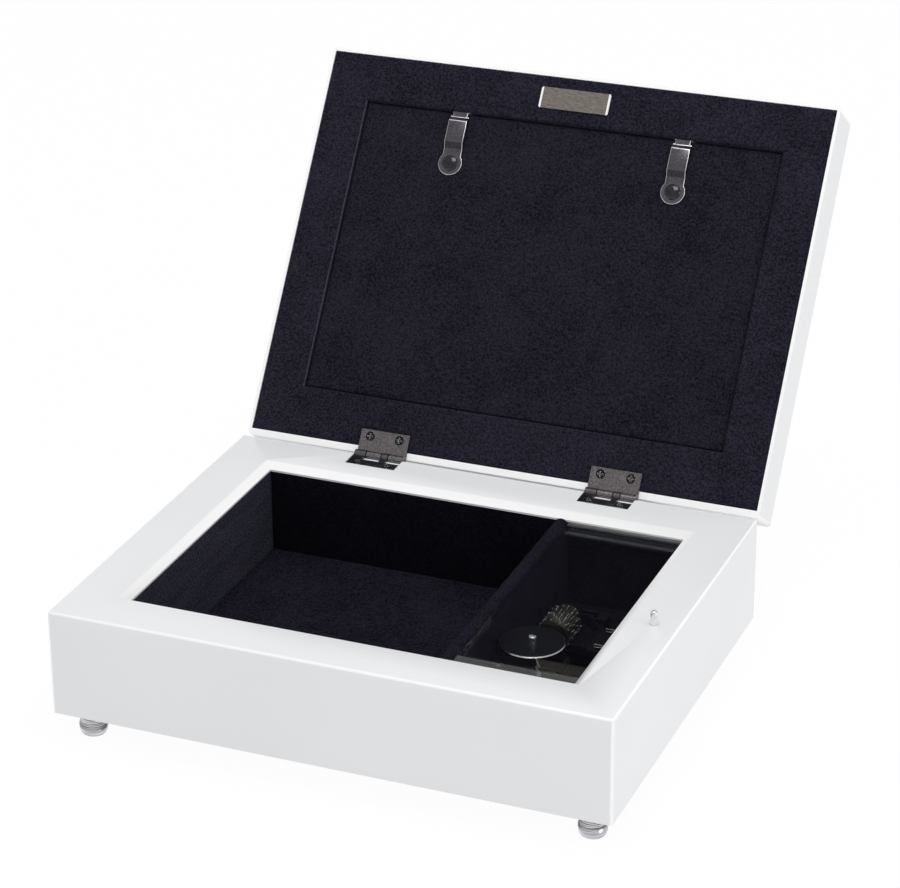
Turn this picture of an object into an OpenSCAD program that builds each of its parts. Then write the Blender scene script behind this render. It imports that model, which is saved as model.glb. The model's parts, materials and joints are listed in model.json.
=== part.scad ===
// Wind up music box: a lidded box with a velvet storage compartment, a glazed
// compartment that shows the movement, and a lid that is a picture frame.
// Millimetres. X runs to the right, Y to the back, Z up. The origin lies on the
// surface that the feet stand on, under the centre of the base. The lid is open.

/* [Base] */
// Width of the base
box_w = 229; // [215:1:250]
// Depth of the base
box_d = 175; // [170:1:195]
// Height of the walls with the rim on them
base_h = 44; // [43:1:55]
// Thickness of a wall
wall_t = 7; // [6:0.5:7.5]
// Thickness of a rim rail
rim_t = 8; // [7.5:0.5:9]
// Width of a rim rail
rim_w = 23.6; // [22:0.2:25]
// Width of the bevel round the opening
bevel_w = 3.4; // [2:0.2:4]
// Fall of the bevel
bevel_drop = 2.4; // [1.5:0.1:2.6]
// Radius of the outer edges of the base
edge_r = 1.2; // [0.5:0.1:2]
// Thickness of the bottom panel
panel_t = 4; // [3:0.5:5]

/* [Compartments] */
// Thickness of a velvet lining board
board_t = 3; // [2:0.5:4]
// Thickness of a velvet floor
floor_t = 1; // [1:0.5:2]
// Thickness of the divider
divider_t = 6; // [4:0.5:7]
// Width of the music compartment, which the divider closes off on the right
music_w = 48.9; // [48.4:0.1:50]
// Height of the divider's top below the rim's top
divider_low = 2; // [1.5:0.5:4]
// Thickness of the glass over the movement
glass_t = 2; // [1.5:0.5:3]
// Width of a ledge that carries the glass
ledge_w = 3.5; // [3:0.5:6]
// Thickness of a ledge that carries the glass
ledge_t = 3; // [2:0.5:4]

/* [Feet] */
// Height of a foot
foot_h = 12; // [11:0.5:14]
// Diameter of a foot's ball
foot_dia = 11.4; // [9:0.2:12]
// Height of the middle of a foot's ball
foot_mid = 3.5; // [3:0.1:4.5]
// Distance of a foot's centre from the outer faces
foot_inset = 11.3; // [10.5:0.1:12.5]

/* [Lid] */
// Angle that the lid stands open at, measured from closed
lid_angle = 124.7; // [100:0.1:130]
// Thickness of the lid
lid_t = 26; // [24:0.5:27]
// Gap between the rim and the closed lid
lid_gap = 1; // [1:0.1:1.5]
// How far the lid lies inside the base's sides
lid_side = 0.5; // [0:0.1:1]
// How far the lid lies inside the base's front
lid_front = 1; // [0:0.1:1.5]
// Width of a lid rail
lid_rail_w = 27; // [24:0.5:30]
// Radius of the lid's outer edges
lid_r = 6; // [2:0.5:6]
// Width of the flat band round the lid's face
face_band = 14; // [10:0.5:17]
// Depth of the slope from the flat band to the window
face_fall = 7; // [4:0.5:9]
// Thickness of the suede lining
suede_t = 1; // [0.8:0.1:1.4]
// White margin round the suede at the sides and the free edge
suede_margin = 1.4; // [1:0.1:3]
// White margin at the hinged edge
suede_back = 3; // [2:0.5:5]

/* [Photo frame] */
// Width of the backing board
back_w = 186.5; // [184:0.5:190]
// Height of the backing board
back_h = 127.5; // [124:0.5:130]
// Thickness of the backing board
back_t = 3; // [2.5:0.5:4]
// Depth of the backing board's face below the suede's face
back_low = 1.8; // [1.6:0.1:2.4]
// How far the board lies towards the free edge from the lid's middle
back_shift = 1.5; // [0:0.5:2]
// Thickness of the photo glass
photo_glass_t = 2; // [1.5:0.5:3]
// Distance of the card's short ends inside the backing board's
card_side = 4.35; // [2:0.05:8]
// Distance of the card's long edges inside the backing board's
card_edge = 0.25; // [0:0.05:2]
// Thickness of the card
card_t = 0.6; // [0.4:0.1:1]

/* [Turn clips] */
// Distance of a clip from the lid's middle
clip_x = 50; // [40:1:60]
// Distance of a rivet from the board's free edge
rivet_in = 22.6; // [20:0.2:26]
// Thickness of the clip's steel
clip_t = 0.6; // [0.4:0.1:0.7]
// Radius of the clip's round end
clip_r = 5.3; // [4.5:0.1:6]
// Width of the clip's bar
clip_bar_w = 8.3; // [6:0.1:9]
// Width of the clip's tab
clip_tab_w = 6.6; // [4:0.1:8]
// Rise of the clip's bar over its ends
clip_rise = 1.4; // [0.8:0.1:1.6]
// Length of the tab that hides under the suede
clip_tuck = 2.4; // [1.5:0.1:3]

/* [Hinges] */
// Distance of a hinge from the middle of the box
hinge_x = 51.5; // [40:0.5:60]
// Width of a hinge leaf
leaf_w = 22; // [20:0.5:26]
// Thickness of a hinge leaf
leaf_t = 1; // [0.8:0.1:1]
// Radius of the hinge barrel
barrel_r = 2; // [1.8:0.1:2.2]
// Radius of the hinge pin
hinge_pin_r = 0.7; // [0.6:0.1:0.9]
// Distance of the hinge axis behind the base
axis_back = 0.9; // [0.6:0.1:1.2]
// Distance of the hinge axis below the rim's top
axis_low = 0.8; // [0.6:0.1:1]
// Reach of a leaf from the back of the box
leaf_reach = 10.3; // [9:0.1:12]
// Depth of the cut between a leaf and the other leaf's knuckles
leaf_slot = 1.6; // [0.5:0.1:2]
// Distance of the leaf screws from the back of the box
leaf_screw_in = 7.5; // [6.5:0.1:8]
// Distance between the two screws of a leaf
leaf_screw_gap = 13.2; // [11:0.2:15]

/* [Latch] */
// Length of the strike plate
strike_l = 31; // [20:1:40]
// Width of the strike plate
strike_w = 9.2; // [6:0.2:11]
// Thickness of the strike plate
strike_t = 0.6; // [0.4:0.1:0.7]
// Distance of the strike plate from the lid's free edge
strike_in = 6.4; // [4:0.2:9]

/* [Start and stop button] */
// Distance of the button from the right face
button_in = 10.1; // [9.9:0.1:11.5]
// Distance of the button from the front face
button_front = 74.4; // [60:0.2:85]
// Radius of the button's pin
button_r = 1.4; // [1:0.1:1.5]
// Height of the button above the rim
button_up = 6; // [4:0.5:6]

/* [Movement] */
// Width of the movement's bedplate
bed_w = 41; // [41:0.5:43]
// Length of the bedplate
bed_l = 57; // [56.5:0.5:58]
// Thickness of the bedplate
bed_t = 2.5; // [2:0.5:3]
// Height of the block under the movement
block_t = 3; // [2.5:0.5:3.5]
// Radius of the spring housing
housing_r = 12.9; // [12.5:0.1:12.9]
// Height of the spring housing
housing_h = 7; // [6.8:0.1:7.4]
// Rise of the winding arbor over the spring housing
arbor_over = 2.4; // [2:0.1:2.8]
// Teeth on the great wheel's crown
crown_teeth = 48; // [48:1:48]
// Teeth on the pinion that it drives
pinion_teeth = 12; // [12:1:12]
// Radius of the pinned cylinder
cylinder_r = 6.4; // [5.8:0.1:6.5]
// Length of the pinned cylinder
cylinder_l = 16.2; // [14:0.2:16.2]
// Notes on the comb
notes = 18; // [12:1:18]
// Distance from one tooth of the comb to the next
note_pitch = 0.8; // [0.6:0.05:0.8]
// Teeth on the gear at the cylinder's back end
gear_teeth = 38; // [38:1:38]
// Teeth on the governor pinion
governor_pinion_teeth = 12; // [12:1:12]
// Teeth on the governor wheel
governor_teeth = 20; // [20:1:20]
// Threads on the worm
worm_starts = 2; // [2:1:2]
// Span of the winding key's wings
key_span = 21; // [16:1:24]

/* [Hidden] */
$fn = 48;
fit = 0.1;        // gap round a piece that is seated
run = 0.15;       // gap beside a piece that moves
slot_gap = 0.3;   // gap in a slot or notch that a moving piece passes

// Heights of the base
z_wall = foot_h;                     // bottom of the walls
z_top = foot_h + base_h;             // top of the rim
z_rim = z_top - rim_t;               // bottom of the rim
z_panel = foot_h + panel_t;          // top of the bottom panel
lip_t = 0.8;                         // edge left under the rim's bevel
z_lip = z_top - bevel_drop - lip_t;  // underside of the rim's lip
panel_in = 4;                        // the bottom panel lies this far inside the faces
well_w = box_w - 2*rim_w;            // the opening in the rim
well_d = box_d - 2*rim_w;
y_back = box_d/2;

// Compartments
glass_gap = 0.2;
z_glass = z_lip - glass_gap - glass_t;       // underside of the glass
divider_right = well_w/2 - music_w;
divider_left = divider_right - divider_t;
divider_x = divider_right - divider_t/2;
glass_over = board_t - 0.5;                  // the glass laps over the lining boards

// Lid, drawn closed and turned about the hinge axis
lid_w = box_w - 2*lid_side;
lid_d = box_d - lid_front;
z_lid = z_top + lid_gap;                     // the lid's inner face, closed
axis_y = y_back + axis_back;
axis_z = z_top - axis_low;
board_y = y_back - lid_d/2 - back_shift;     // middle of the backing board, closed
z_board = z_lid + back_low;                  // face of the backing board
z_card = z_board + back_t;
z_photo_glass = z_card + card_t;
z_pack = z_photo_glass + photo_glass_t + fit;
card_w = back_w - 2*card_side;               // a 7 by 5 inch print fits it
card_h = back_h - 2*card_edge;
pack_fit = 0.5;                              // gap round the board, glass and card
tongue_w = 150;                              // tongue that holds the board's hinged edge
tongue_l = 3;
tongue_t = 1.6;
clip_y = board_y - back_h/2 + rivet_in;      // the rivets, closed
clip_seat = 0.05;
rivet_r = 1.5;
rivet_head_r = 3.5;
clip_reach = rivet_in + clip_tuck;           // from the rivet to the tab's end

// Hinge knuckles from left to right: base, lid, base, lid
knuckle_gap = 0.5;
knuckles = [0.24, 0.315, 0.14, 0.305];       // shares of the leaf's width
function knuckle_from(i) = i == 0 ? 0 : knuckle_from(i - 1) + knuckles[i - 1];
heel_w = 6;                                  // stop heel on the lid leaf
heel_l = 6;
screw_r = 1;
screw_head_r = 2.1;
leaf_screw_l = 6.5;

// Movement. Its parts are set out to the right of the bedplate's middle
bed_in = 26.5;                               // from the opening's right side to that middle
arbor_right = -7.4;
cylinder_right = -4.6;
comb_right = 10;
lever_right = 22;
bed_x = well_w/2 - bed_in;
bed_y = -5.2;
arbor_x = bed_x + arbor_right;
arbor_y = -17.4;
arbor_r = 1.6;
z_bed = z_panel + block_t;
z_bed_top = z_bed + bed_t;
axis_up = 18;
z_axis = z_bed + axis_up;                    // the cylinder's axis
cylinder_x = bed_x + cylinder_right;
cylinder_y = -2.9;                           // front end of the cylinder
pivot_r = 0.5;
pinion_y = -4.25;
pinion_w = 0.9;
pinion_pitch_r = 3.57;
crown_out = 14.3;
crown_in = 13.15;
crown_tip = z_axis - pinion_pitch_r + 0.4;
crown_root = z_axis - pinion_pitch_r - 0.75;
great_t = 1.2;
z_housing = crown_tip + 0.9;
housing_wall = 0.8;
post_ring = 16.2;                            // housing posts lie on this radius
post_angles = [-62, -125, 128];
post_r = 1.6;
tab_t = 0.8;
tooth_module = 0.3;
gear_y = cylinder_y + cylinder_l + 0.2;
gear_w = 1;
gear_pitch_r = gear_teeth*tooth_module/2;
governor_pitch_r = governor_pinion_teeth*tooth_module/2;
mesh_angle = -25;                            // from the cylinder's axis to the governor pinion
governor_x = cylinder_x + (gear_pitch_r + governor_pitch_r)*cos(mesh_angle);
governor_z = z_axis + (gear_pitch_r + governor_pitch_r)*sin(mesh_angle);
plate_t = 1;
plate_y = gear_y + gear_w + 0.3;             // front plate of the governor
wheel_r = 4;                                 // pitch radius of the governor wheel
wheel_w = 0.8;
worm_r = 1.2;                                // pitch radius of the worm
worm_x = governor_x + wheel_r + worm_r + 0.25;
worm_y = plate_y + plate_t + 2.4;
worm_pitch = 2*PI*wheel_r/governor_teeth;
back_plate_y = worm_y + 3.8;
fan_r = 2.5;
brake_r = 3.4;
z_fan = z_bed_top + 1.6;
fan_h = 4.2;
z_brake = z_fan + fan_h + 0.1;
z_worm = z_brake + 1;
worm_l = 7;
z_shelf = z_worm + worm_l + 0.6;

// Comb
comb_z = z_axis - 3;                         // middle of the comb's teeth
comb_t = 0.6;
comb_base_t = 2;
pin_h = 0.5;                                 // height of a pin on the cylinder
tip_gap = 0.15;
comb_tip = cylinder_x + sqrt(pow(cylinder_r + pin_h + tip_gap, 2) - pow(z_axis - comb_z - comb_t/2, 2));
comb_root = bed_x + comb_right;
comb_plate = 8;                              // width of the comb's thick plate
comb_back = comb_root + comb_plate;
comb_mid = cylinder_y + cylinder_l/2;
comb_w = notes*note_pitch + 5.4;
comb_screw_gap = 13.6;
comb_screw_x = comb_root + comb_plate/2;

// Button and stop lever
button_x = box_w/2 - button_in;
button_y = -box_d/2 + button_front;
travel = button_up - lid_gap + fit;                // the closed lid leaves the button this low
wire_r = 0.6;
lever_x = bed_x + lever_right;                 // the lever turns about this line along Y
lever_z = z_bed_top + 3.1;
arm_out = button_x - lever_x;
arm_in = lever_x - (worm_x + (fan_r + brake_r)/2 + 0.3);
lever_swing = 2*asin(travel/2/arm_out);
collar_t = 1.2;

// Winding key
key_t = 1.8;
key_h = 8.4;
z_key = 1.3;

// ---- Shapes that repeat ----

// A rectangle with round corners
module round_rect(w, d, r) {
  square([w - 2*r, d], center = true);
  square([w, d - 2*r], center = true);
  for (x = [-1, 1], y = [-1, 1])
    translate([x*(w/2 - r), y*(d/2 - r)]) circle(r);
}

module round_block(w, d, r, z0, z1) {
  translate([0, 0, z0]) linear_extrude(z1 - z0) round_rect(w, d, r);
}

module box(x0, x1, y0, y1, z0, z1) {
  translate([x0, y0, z0]) cube([x1 - x0, y1 - y0, z1 - z0]);
}

// One mitred rail of a frame w by d. The profile has X inward and Y up.
// side: 0 front, 1 right, 2 back, 3 left
module mitred_rail(w, d, side, depth, z0, points) {
  long = side % 2 == 0 ? w : d;
  out = side % 2 == 0 ? d/2 : w/2;
  tall = max([for (p = points) p[1]]);
  rotate([0, 0, 90*side]) translate([0, -out, z0]) intersection() {
    rotate([90, 0, 90]) linear_extrude(long, center = true) polygon(points);
    translate([0, 0, -1]) linear_extrude(tall + 2)
      polygon([[-long/2, 0], [long/2, 0], [long/2 - depth, depth], [-long/2 + depth, depth]]);
  }
}

// A quarter round from the outer face to the top, for a profile
function edge_arc(r, h, steps) = [for (i = [0:steps]) let (a = 90*i/steps)
  [r - r*cos(a), h - r + r*sin(a)]];

// Outline of a gear: each tooth is a trapezium
function gear_points(teeth, root_r, tip_r, root_share, tip_share) = [
  for (i = [0:teeth - 1]) let (a = 360*i/teeth, b = 180/teeth)
    for (p = [[root_r, -root_share], [tip_r, -tip_share], [tip_r, tip_share], [root_r, root_share]])
      [p[0]*cos(a + b*p[1]), p[0]*sin(a + b*p[1])]];

module spur_gear(teeth, module_size, turn = 0) {
  pitch_r = teeth*module_size/2;
  rotate(turn) polygon(gear_points(teeth, pitch_r - 0.36, pitch_r + 0.22, 0.5, 0.22));
}

// Countersunk wood screw, head up, with its top at z = 0
module wood_screw(length) {
  difference() {
    union() {
      translate([0, 0, -1.1]) cylinder(h = 1.1, r1 = screw_r, r2 = screw_head_r);
      translate([0, 0, -length + 1]) cylinder(h = length - 1, r = screw_r);
      translate([0, 0, -length]) cylinder(h = 1.001, r1 = 0.3, r2 = screw_r);
    }
    for (a = [0, 90]) rotate(a) translate([-1.2, -0.25, -0.6]) cube([2.4, 0.5, 1]);
  }
}

// The hole that a wood screw fills
module screw_hole(length) {
  translate([0, 0, -1.1]) cylinder(h = 1.1, r1 = screw_r + fit, r2 = screw_head_r + fit);
  translate([0, 0, -length - 0.3]) cylinder(h = length + 0.3, r = screw_r + fit);
  translate([0, 0, -0.001]) cylinder(h = 2, r = screw_head_r + fit);
}

// Machine screw with a cheese head standing on z = 0
module cheese_screw(head_r, head_h, r, length) {
  difference() {
    cylinder(h = head_h, r = head_r);
    translate([-head_r, -0.25, head_h - 0.5]) cube([2*head_r, 0.5, 1]);
  }
  translate([0, 0, -length]) cylinder(h = length + 0.001, r = r);
}

// Turns what is drawn for the closed lid to where the lid stands
module on_lid() {
  translate([0, axis_y, axis_z]) rotate([-lid_angle, 0, 0])
    translate([0, -axis_y, -axis_z]) children();
}

// ---- Base ----

wall_profile = [[0, 0], [0, z_rim - z_wall], [wall_t, z_rim - z_wall],
  [wall_t, panel_t + fit], [panel_in, panel_t + fit], [panel_in, 0]];

module wall(side) {
  color("white") intersection() {
    mitred_rail(box_w, box_d, side, wall_t, z_wall, wall_profile);
    round_block(box_w, box_d, edge_r, z_wall - 1, z_top + 1);
  }
}

rim_profile = concat(
  [[0, 0]], edge_arc(edge_r, rim_t, 6),
  [[rim_w - bevel_w, rim_t], [rim_w, rim_t - bevel_drop], [rim_w, z_lip - z_rim],
   [rim_w - board_t - fit, z_lip - z_rim], [rim_w - board_t - fit, 0]]);

module rim(side) {
  intersection() {
    mitred_rail(box_w, box_d, side, rim_w, z_rim, rim_profile);
    round_block(box_w, box_d, edge_r, z_rim - 1, z_top + 1);
  }
}

module wall_front() { wall(0); }
module wall_right() { wall(1); }
module wall_back() { wall(2); }
module wall_left() { wall(3); }

module rim_front() {
  color("white") difference() {
    rim(0);
    magnet_block(fit, -1);
  }
}

module rim_left() { color("white") rim(3); }

module rim_right() {
  color("white") difference() {
    rim(1);
    translate([button_x, button_y, z_rim - 1]) {
      cylinder(h = rim_t + 2, r = button_r + fit);
      cylinder(h = rim_t, r = bush_r + 0.05);
    }
  }
}

module rim_back() {
  color("white") difference() {
    rim(2);
    for (x = [-1, 1]) translate([x*hinge_x, 0, 0]) {
      box(-leaf_w/2 - fit, leaf_w/2 + fit, y_back - leaf_reach - fit, y_back + 1,
        axis_z - leaf_t/2, z_top + 1);
      hinge_barrel_space();
      leaf_screw_places() translate([0, 0, axis_z + leaf_t/2]) screw_hole(leaf_screw_l);
    }
  }
}

module bottom_panel() {
  holes_r = 3.6;
  color("tan") difference() {
    round_block(box_w - 2*panel_in - 2*fit, box_d - 2*panel_in - 2*fit, 1, z_wall, z_panel);
    translate([arbor_x, arbor_y, z_wall - 1]) cylinder(h = panel_t + 2, r = holes_r);
    foot_places() translate([0, 0, z_wall - 1]) cylinder(h = panel_t + 2, r = stud_r + fit);
    movement_screw_places() {
      translate([0, 0, z_wall - 1]) cylinder(h = panel_t + 2, r = movement_screw_r + fit);
      translate([0, 0, z_wall - 1]) cylinder(h = 3, r = movement_head_r + 0.2);
    }
  }
}

stud_r = 1.5;
stud_up = 13;      // how far a stud reaches into its block
stud_down = 5;     // how far a stud reaches into its foot
block_side = 12;
block_h = 16;

module foot_places() {
  for (x = [-1, 1], y = [-1, 1])
    translate([x*(box_w/2 - foot_inset), y*(box_d/2 - foot_inset), 0]) children();
}

module corner_blocks() {
  color("burlywood") for (x = [-1, 1], y = [-1, 1])
    difference() {
      translate([x*(box_w/2 - wall_t - fit - block_side/2), y*(box_d/2 - wall_t - fit - block_side/2),
        z_panel + block_h/2]) cube([block_side, block_side, block_h], center = true);
      foot_places() translate([0, 0, z_wall]) cylinder(h = stud_up + 1 + panel_t, r = stud_r + fit);
    }
}

// Turned ball foot: a flat bottom with two fine rings, the ball, a neck and a collar
module feet() {
  ball_r = foot_dia/2;
  low = -asin(foot_mid/ball_r);
  high = 62;
  collar_r = 3.6;
  color("silver") foot_places() difference() {
    rotate_extrude($fn = 48) polygon(concat(
      [[0, 0], [ball_r*cos(low) - 1.5, 0], [ball_r*cos(low) - 1.3, 0.25], [ball_r*cos(low) - 0.9, 0]],
      [for (i = [0:14]) let (a = low + (high - low)*i/14)
        [ball_r*cos(a), foot_mid + ball_r*sin(a)]],
      [[ball_r*cos(high), foot_h - 1.4], [collar_r, foot_h - 1.2], [collar_r, foot_h], [0, foot_h]]));
    translate([0, 0, foot_h - stud_down - 0.5]) cylinder(h = foot_h, r = stud_r + fit);
  }
}

module foot_studs() {
  color("gray") foot_places()
    translate([0, 0, foot_h - stud_down]) cylinder(h = stud_down + panel_t + stud_up - 1, r = stud_r);
}

// ---- Linings, divider and glass ----

lining_in = rim_w - board_t;

module storage_floor() {
  color("#1b1b24") box(-well_w/2 + fit, divider_left - fit, -well_d/2 + fit, well_d/2 - fit,
    z_panel, z_panel + floor_t);
}

module storage_lining_left() {
  color("#22222c") box(-well_w/2 - board_t, -well_w/2, -well_d/2 - board_t, well_d/2 + board_t,
    z_panel, z_lip);
}

module storage_lining_front() {
  color("#22222c") box(-well_w/2 + fit, divider_x, -well_d/2 - board_t, -well_d/2, z_panel, z_lip);
}

module storage_lining_back() {
  color("#22222c") box(-well_w/2 + fit, divider_x, well_d/2, well_d/2 + board_t, z_panel, z_lip);
}

module divider() {
  top = z_top - divider_low;
  color("#1f1f28") translate([divider_x, well_d/2 - fit, 0]) rotate([90, 0, 0])
    linear_extrude(well_d - 2*fit) {
      translate([-divider_t/2, z_panel]) square([divider_t, top - divider_t/2 - z_panel]);
      translate([0, top - divider_t/2]) circle(divider_t/2);
    }
}

module music_floor() {
  color("#1b1b24") difference() {
    box(divider_right + fit, well_w/2 - fit, -well_d/2 + fit, well_d/2 - fit, z_panel, z_panel + floor_t);
    box(bed_x - bed_w/2 - fit, bed_x + bed_w/2 + fit, bed_y - bed_l/2 - fit, bed_y + bed_l/2 + fit,
      z_panel - 1, z_panel + floor_t + 1);
  }
}

// Boards at the front, back and right of the movement; the right one has the lever's slot
module music_linings() {
  top = z_glass - fit;
  color("#22222c") {
    for (y = [-well_d/2 - board_t, well_d/2])
      box(divider_x + fit, well_w/2 - fit, y, y + board_t, z_panel, top);
    difference() {
      box(well_w/2, well_w/2 + board_t, -well_d/2 - board_t, well_d/2 + board_t, z_panel, top);
      box(well_w/2 - 1, well_w/2 + board_t + 1, button_y - wire_r - slot_gap, button_y + wire_r + slot_gap,
        lever_z - travel/2 - wire_r - 1, lever_z + travel/2 + wire_r + 1);
    }
  }
}

module glass_ledges() {
  color("#2b2b30") for (y = [-well_d/2, well_d/2 - ledge_w])
    box(divider_right + fit, well_w/2 - fit, y + 0.05, y + ledge_w - 0.05, z_glass - fit - ledge_t,
      z_glass - fit);
}

module music_glass() {
  color("lightcyan", 0.3) box(divider_right + fit, well_w/2 + glass_over,
    -well_d/2 - glass_over, well_d/2 + glass_over, z_glass, z_glass + glass_t);
}

// ---- Latch magnet ----

magnet_l = 26;
magnet_w = 8;
magnet_t = 5;

module magnet_block(gap, sink) {
  y = y_back - lid_d + strike_in + strike_w/2;
  top = z_top - 1.2;
  box(-magnet_l/2 - gap, magnet_l/2 + gap, y - magnet_w/2 - gap, y + magnet_w/2 + gap,
    sink < 0 ? z_rim - 1 : top - magnet_t, top);
}

module latch_magnet() { color("dimgray") magnet_block(0, 0); }

// ---- Hinges ----

module leaf_screw_places() {
  for (x = [-1, 1]) translate([x*leaf_screw_gap/2, y_back - leaf_screw_in, 0]) children();
}

// The room that the barrel needs in the rim and in the lid
module hinge_barrel_space() {
  translate([-leaf_w/2 - slot_gap, axis_y, axis_z]) rotate([0, 90, 0])
    cylinder(h = leaf_w + 2*slot_gap, r = barrel_r + slot_gap);
}

// A leaf lying level, with knuckles first, first + 2; z0 is its underside
module leaf(first, z0) {
  cut_y = axis_y - barrel_r - slot_gap - leaf_slot;
  difference() {
    union() {
      box(-leaf_w/2, leaf_w/2, y_back - leaf_reach, cut_y, z0, z0 + leaf_t);
      for (i = [first, first + 2]) {
        x0 = -leaf_w/2 + leaf_w*knuckle_from(i) + (i == 0 ? 0 : knuckle_gap/2);
        x1 = -leaf_w/2 + leaf_w*(knuckle_from(i) + knuckles[i]) - (i == 3 ? 0 : knuckle_gap/2);
        box(x0, x1, cut_y - 0.01, axis_y, z0, z0 + leaf_t);
        translate([x0, axis_y, axis_z]) rotate([0, 90, 0]) cylinder(h = x1 - x0, r = barrel_r);
      }
    }
    translate([-leaf_w, axis_y, axis_z]) rotate([0, 90, 0])
      cylinder(h = 2*leaf_w, r = hinge_pin_r + 0.05);
  }
}

module hinge_base_leaves() {
  color("#3a3a40") for (x = [-1, 1]) translate([x*hinge_x, 0, 0]) difference() {
    leaf(0, axis_z - leaf_t/2);
    leaf_screw_places() translate([0, 0, axis_z + leaf_t/2]) screw_hole(leaf_screw_l);
  }
}

module hinge_base_screws() {
  color("#55555c") for (x = [-1, 1]) translate([x*hinge_x, 0, axis_z + leaf_t/2])
    leaf_screw_places() wood_screw(leaf_screw_l);
}

module hinge_pins() {
  color("#77777e") for (x = [-1, 1]) translate([x*hinge_x - leaf_w/2 + 0.2, axis_y, axis_z])
    rotate([0, 90, 0]) cylinder(h = leaf_w - 0.4, r = hinge_pin_r);
}

z_lid_leaf = axis_z + barrel_r - leaf_t;   // underside of the lid leaf, closed

// The heel lies flat against the base when the lid is open, and stops it
module hinge_heel() {
  x0 = -leaf_w/2 + leaf_w*knuckle_from(1) + knuckle_gap/2 + 0.2;
  heel_t = axis_y - y_back - hinge_pin_r + 0.75;
  translate([0, axis_y, axis_z]) rotate([lid_angle, 0, 0]) translate([0, -axis_y, -axis_z])
    difference() {
      box(x0, x0 + heel_w, y_back + fit, y_back + fit + heel_t, axis_z - heel_l, axis_z);
      translate([-leaf_w, axis_y, axis_z]) rotate([0, 90, 0])
        cylinder(h = 2*leaf_w, r = hinge_pin_r + 0.5);
    }
}

module hinge_lid_leaves() {
  color("#3a3a40") on_lid() for (x = [-1, 1]) translate([x*hinge_x, 0, 0]) difference() {
    union() {
      leaf(1, z_lid_leaf);
      hinge_heel();
    }
    leaf_screw_places() translate([0, 0, z_lid_leaf]) rotate([180, 0, 0]) screw_hole(leaf_screw_l);
  }
}

module hinge_lid_screws() {
  color("#55555c") on_lid() for (x = [-1, 1]) translate([x*hinge_x, 0, z_lid_leaf])
    leaf_screw_places() rotate([180, 0, 0]) wood_screw(leaf_screw_l);
}

// ---- Start and stop button ----

bush_r = 2;
bush_top = z_top - 1;
bush_low = 3;      // how far the bush stands out under the rim

module button_pin() {
  low = lever_z + travel/2 + wire_r/cos(lever_swing/2) + 0.3;
  color("lightgray") translate([button_x, button_y, 0]) rotate_extrude() polygon(concat(
    [[0, low], [button_r*0.6, low], [button_r, low + 0.5], [button_r, z_rim - bush_low - 0.2 - collar_t],
     [bush_r - 0.3, z_rim - bush_low - 0.2 - collar_t], [bush_r - 0.3, z_rim - bush_low - 0.2],
     [button_r, z_rim - bush_low - 0.2]],
    [for (i = [0:5]) let (a = 90*i/5)
      [button_r*cos(a), z_top + button_up - button_r + button_r*sin(a)]]));
}

module button_bush() {
  color("dimgray") translate([button_x, button_y, z_rim - bush_low]) difference() {
    cylinder(h = bush_top - z_rim + bush_low, r = bush_r);
    translate([0, 0, -1]) cylinder(h = base_h, r = button_r + 0.05);
  }
}

// Bent wire: an arm under the button, a bar along Y that it turns on, and an arm to the fan's disc
module stop_lever() {
  finger = z_brake - slot_gap - (lever_z + arm_in*sin(lever_swing/2));
  color("silver") translate([lever_x, 0, lever_z]) {
    translate([0, button_y, 0]) rotate([-90, 0, 0]) cylinder(h = worm_y - button_y, r = wire_r);
    rotate([0, -lever_swing/2, 0]) {
      translate([0, button_y, 0]) rotate([0, 90, 0]) cylinder(h = arm_out + 1, r = wire_r);
      for (y = [button_y, worm_y]) translate([0, y, 0]) sphere(wire_r);
      translate([0, worm_y, 0]) rotate([0, -90, 0]) cylinder(h = arm_in, r = wire_r);
      translate([-arm_in, worm_y, 0]) sphere(wire_r);
      translate([-arm_in, worm_y, 0]) cylinder(h = finger, r = wire_r - 0.1);
    }
  }
}

// ---- Movement ----

movement_screw_r = 1.4;
movement_head_r = 2.8;
movement_screw_up = 2;

module movement_screw_places() {
  for (p = [[-bed_w/2 + 4, bed_l/2 - 5], [bed_w/2 - 4, -bed_l/2 + 4], [-bed_w/2 + 3.5, -bed_l/2 + 3.5]])
    translate([bed_x + p[0], bed_y + p[1], 0]) children();
}

module movement_block() {
  color("burlywood") difference() {
    box(bed_x - bed_w/2, bed_x + bed_w/2, bed_y - bed_l/2, bed_y + bed_l/2, z_panel, z_bed);
    translate([arbor_x, arbor_y, z_panel - 1]) cylinder(h = block_t + 2, r = arbor_r + 2);
    movement_screw_places() translate([0, 0, z_panel - 1]) cylinder(h = block_t + 2, r = movement_screw_r + fit);
  }
}

module post_places() {
  for (a = post_angles)
    translate([arbor_x + post_ring*cos(a), arbor_y + post_ring*sin(a), 0]) children();
}

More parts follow.
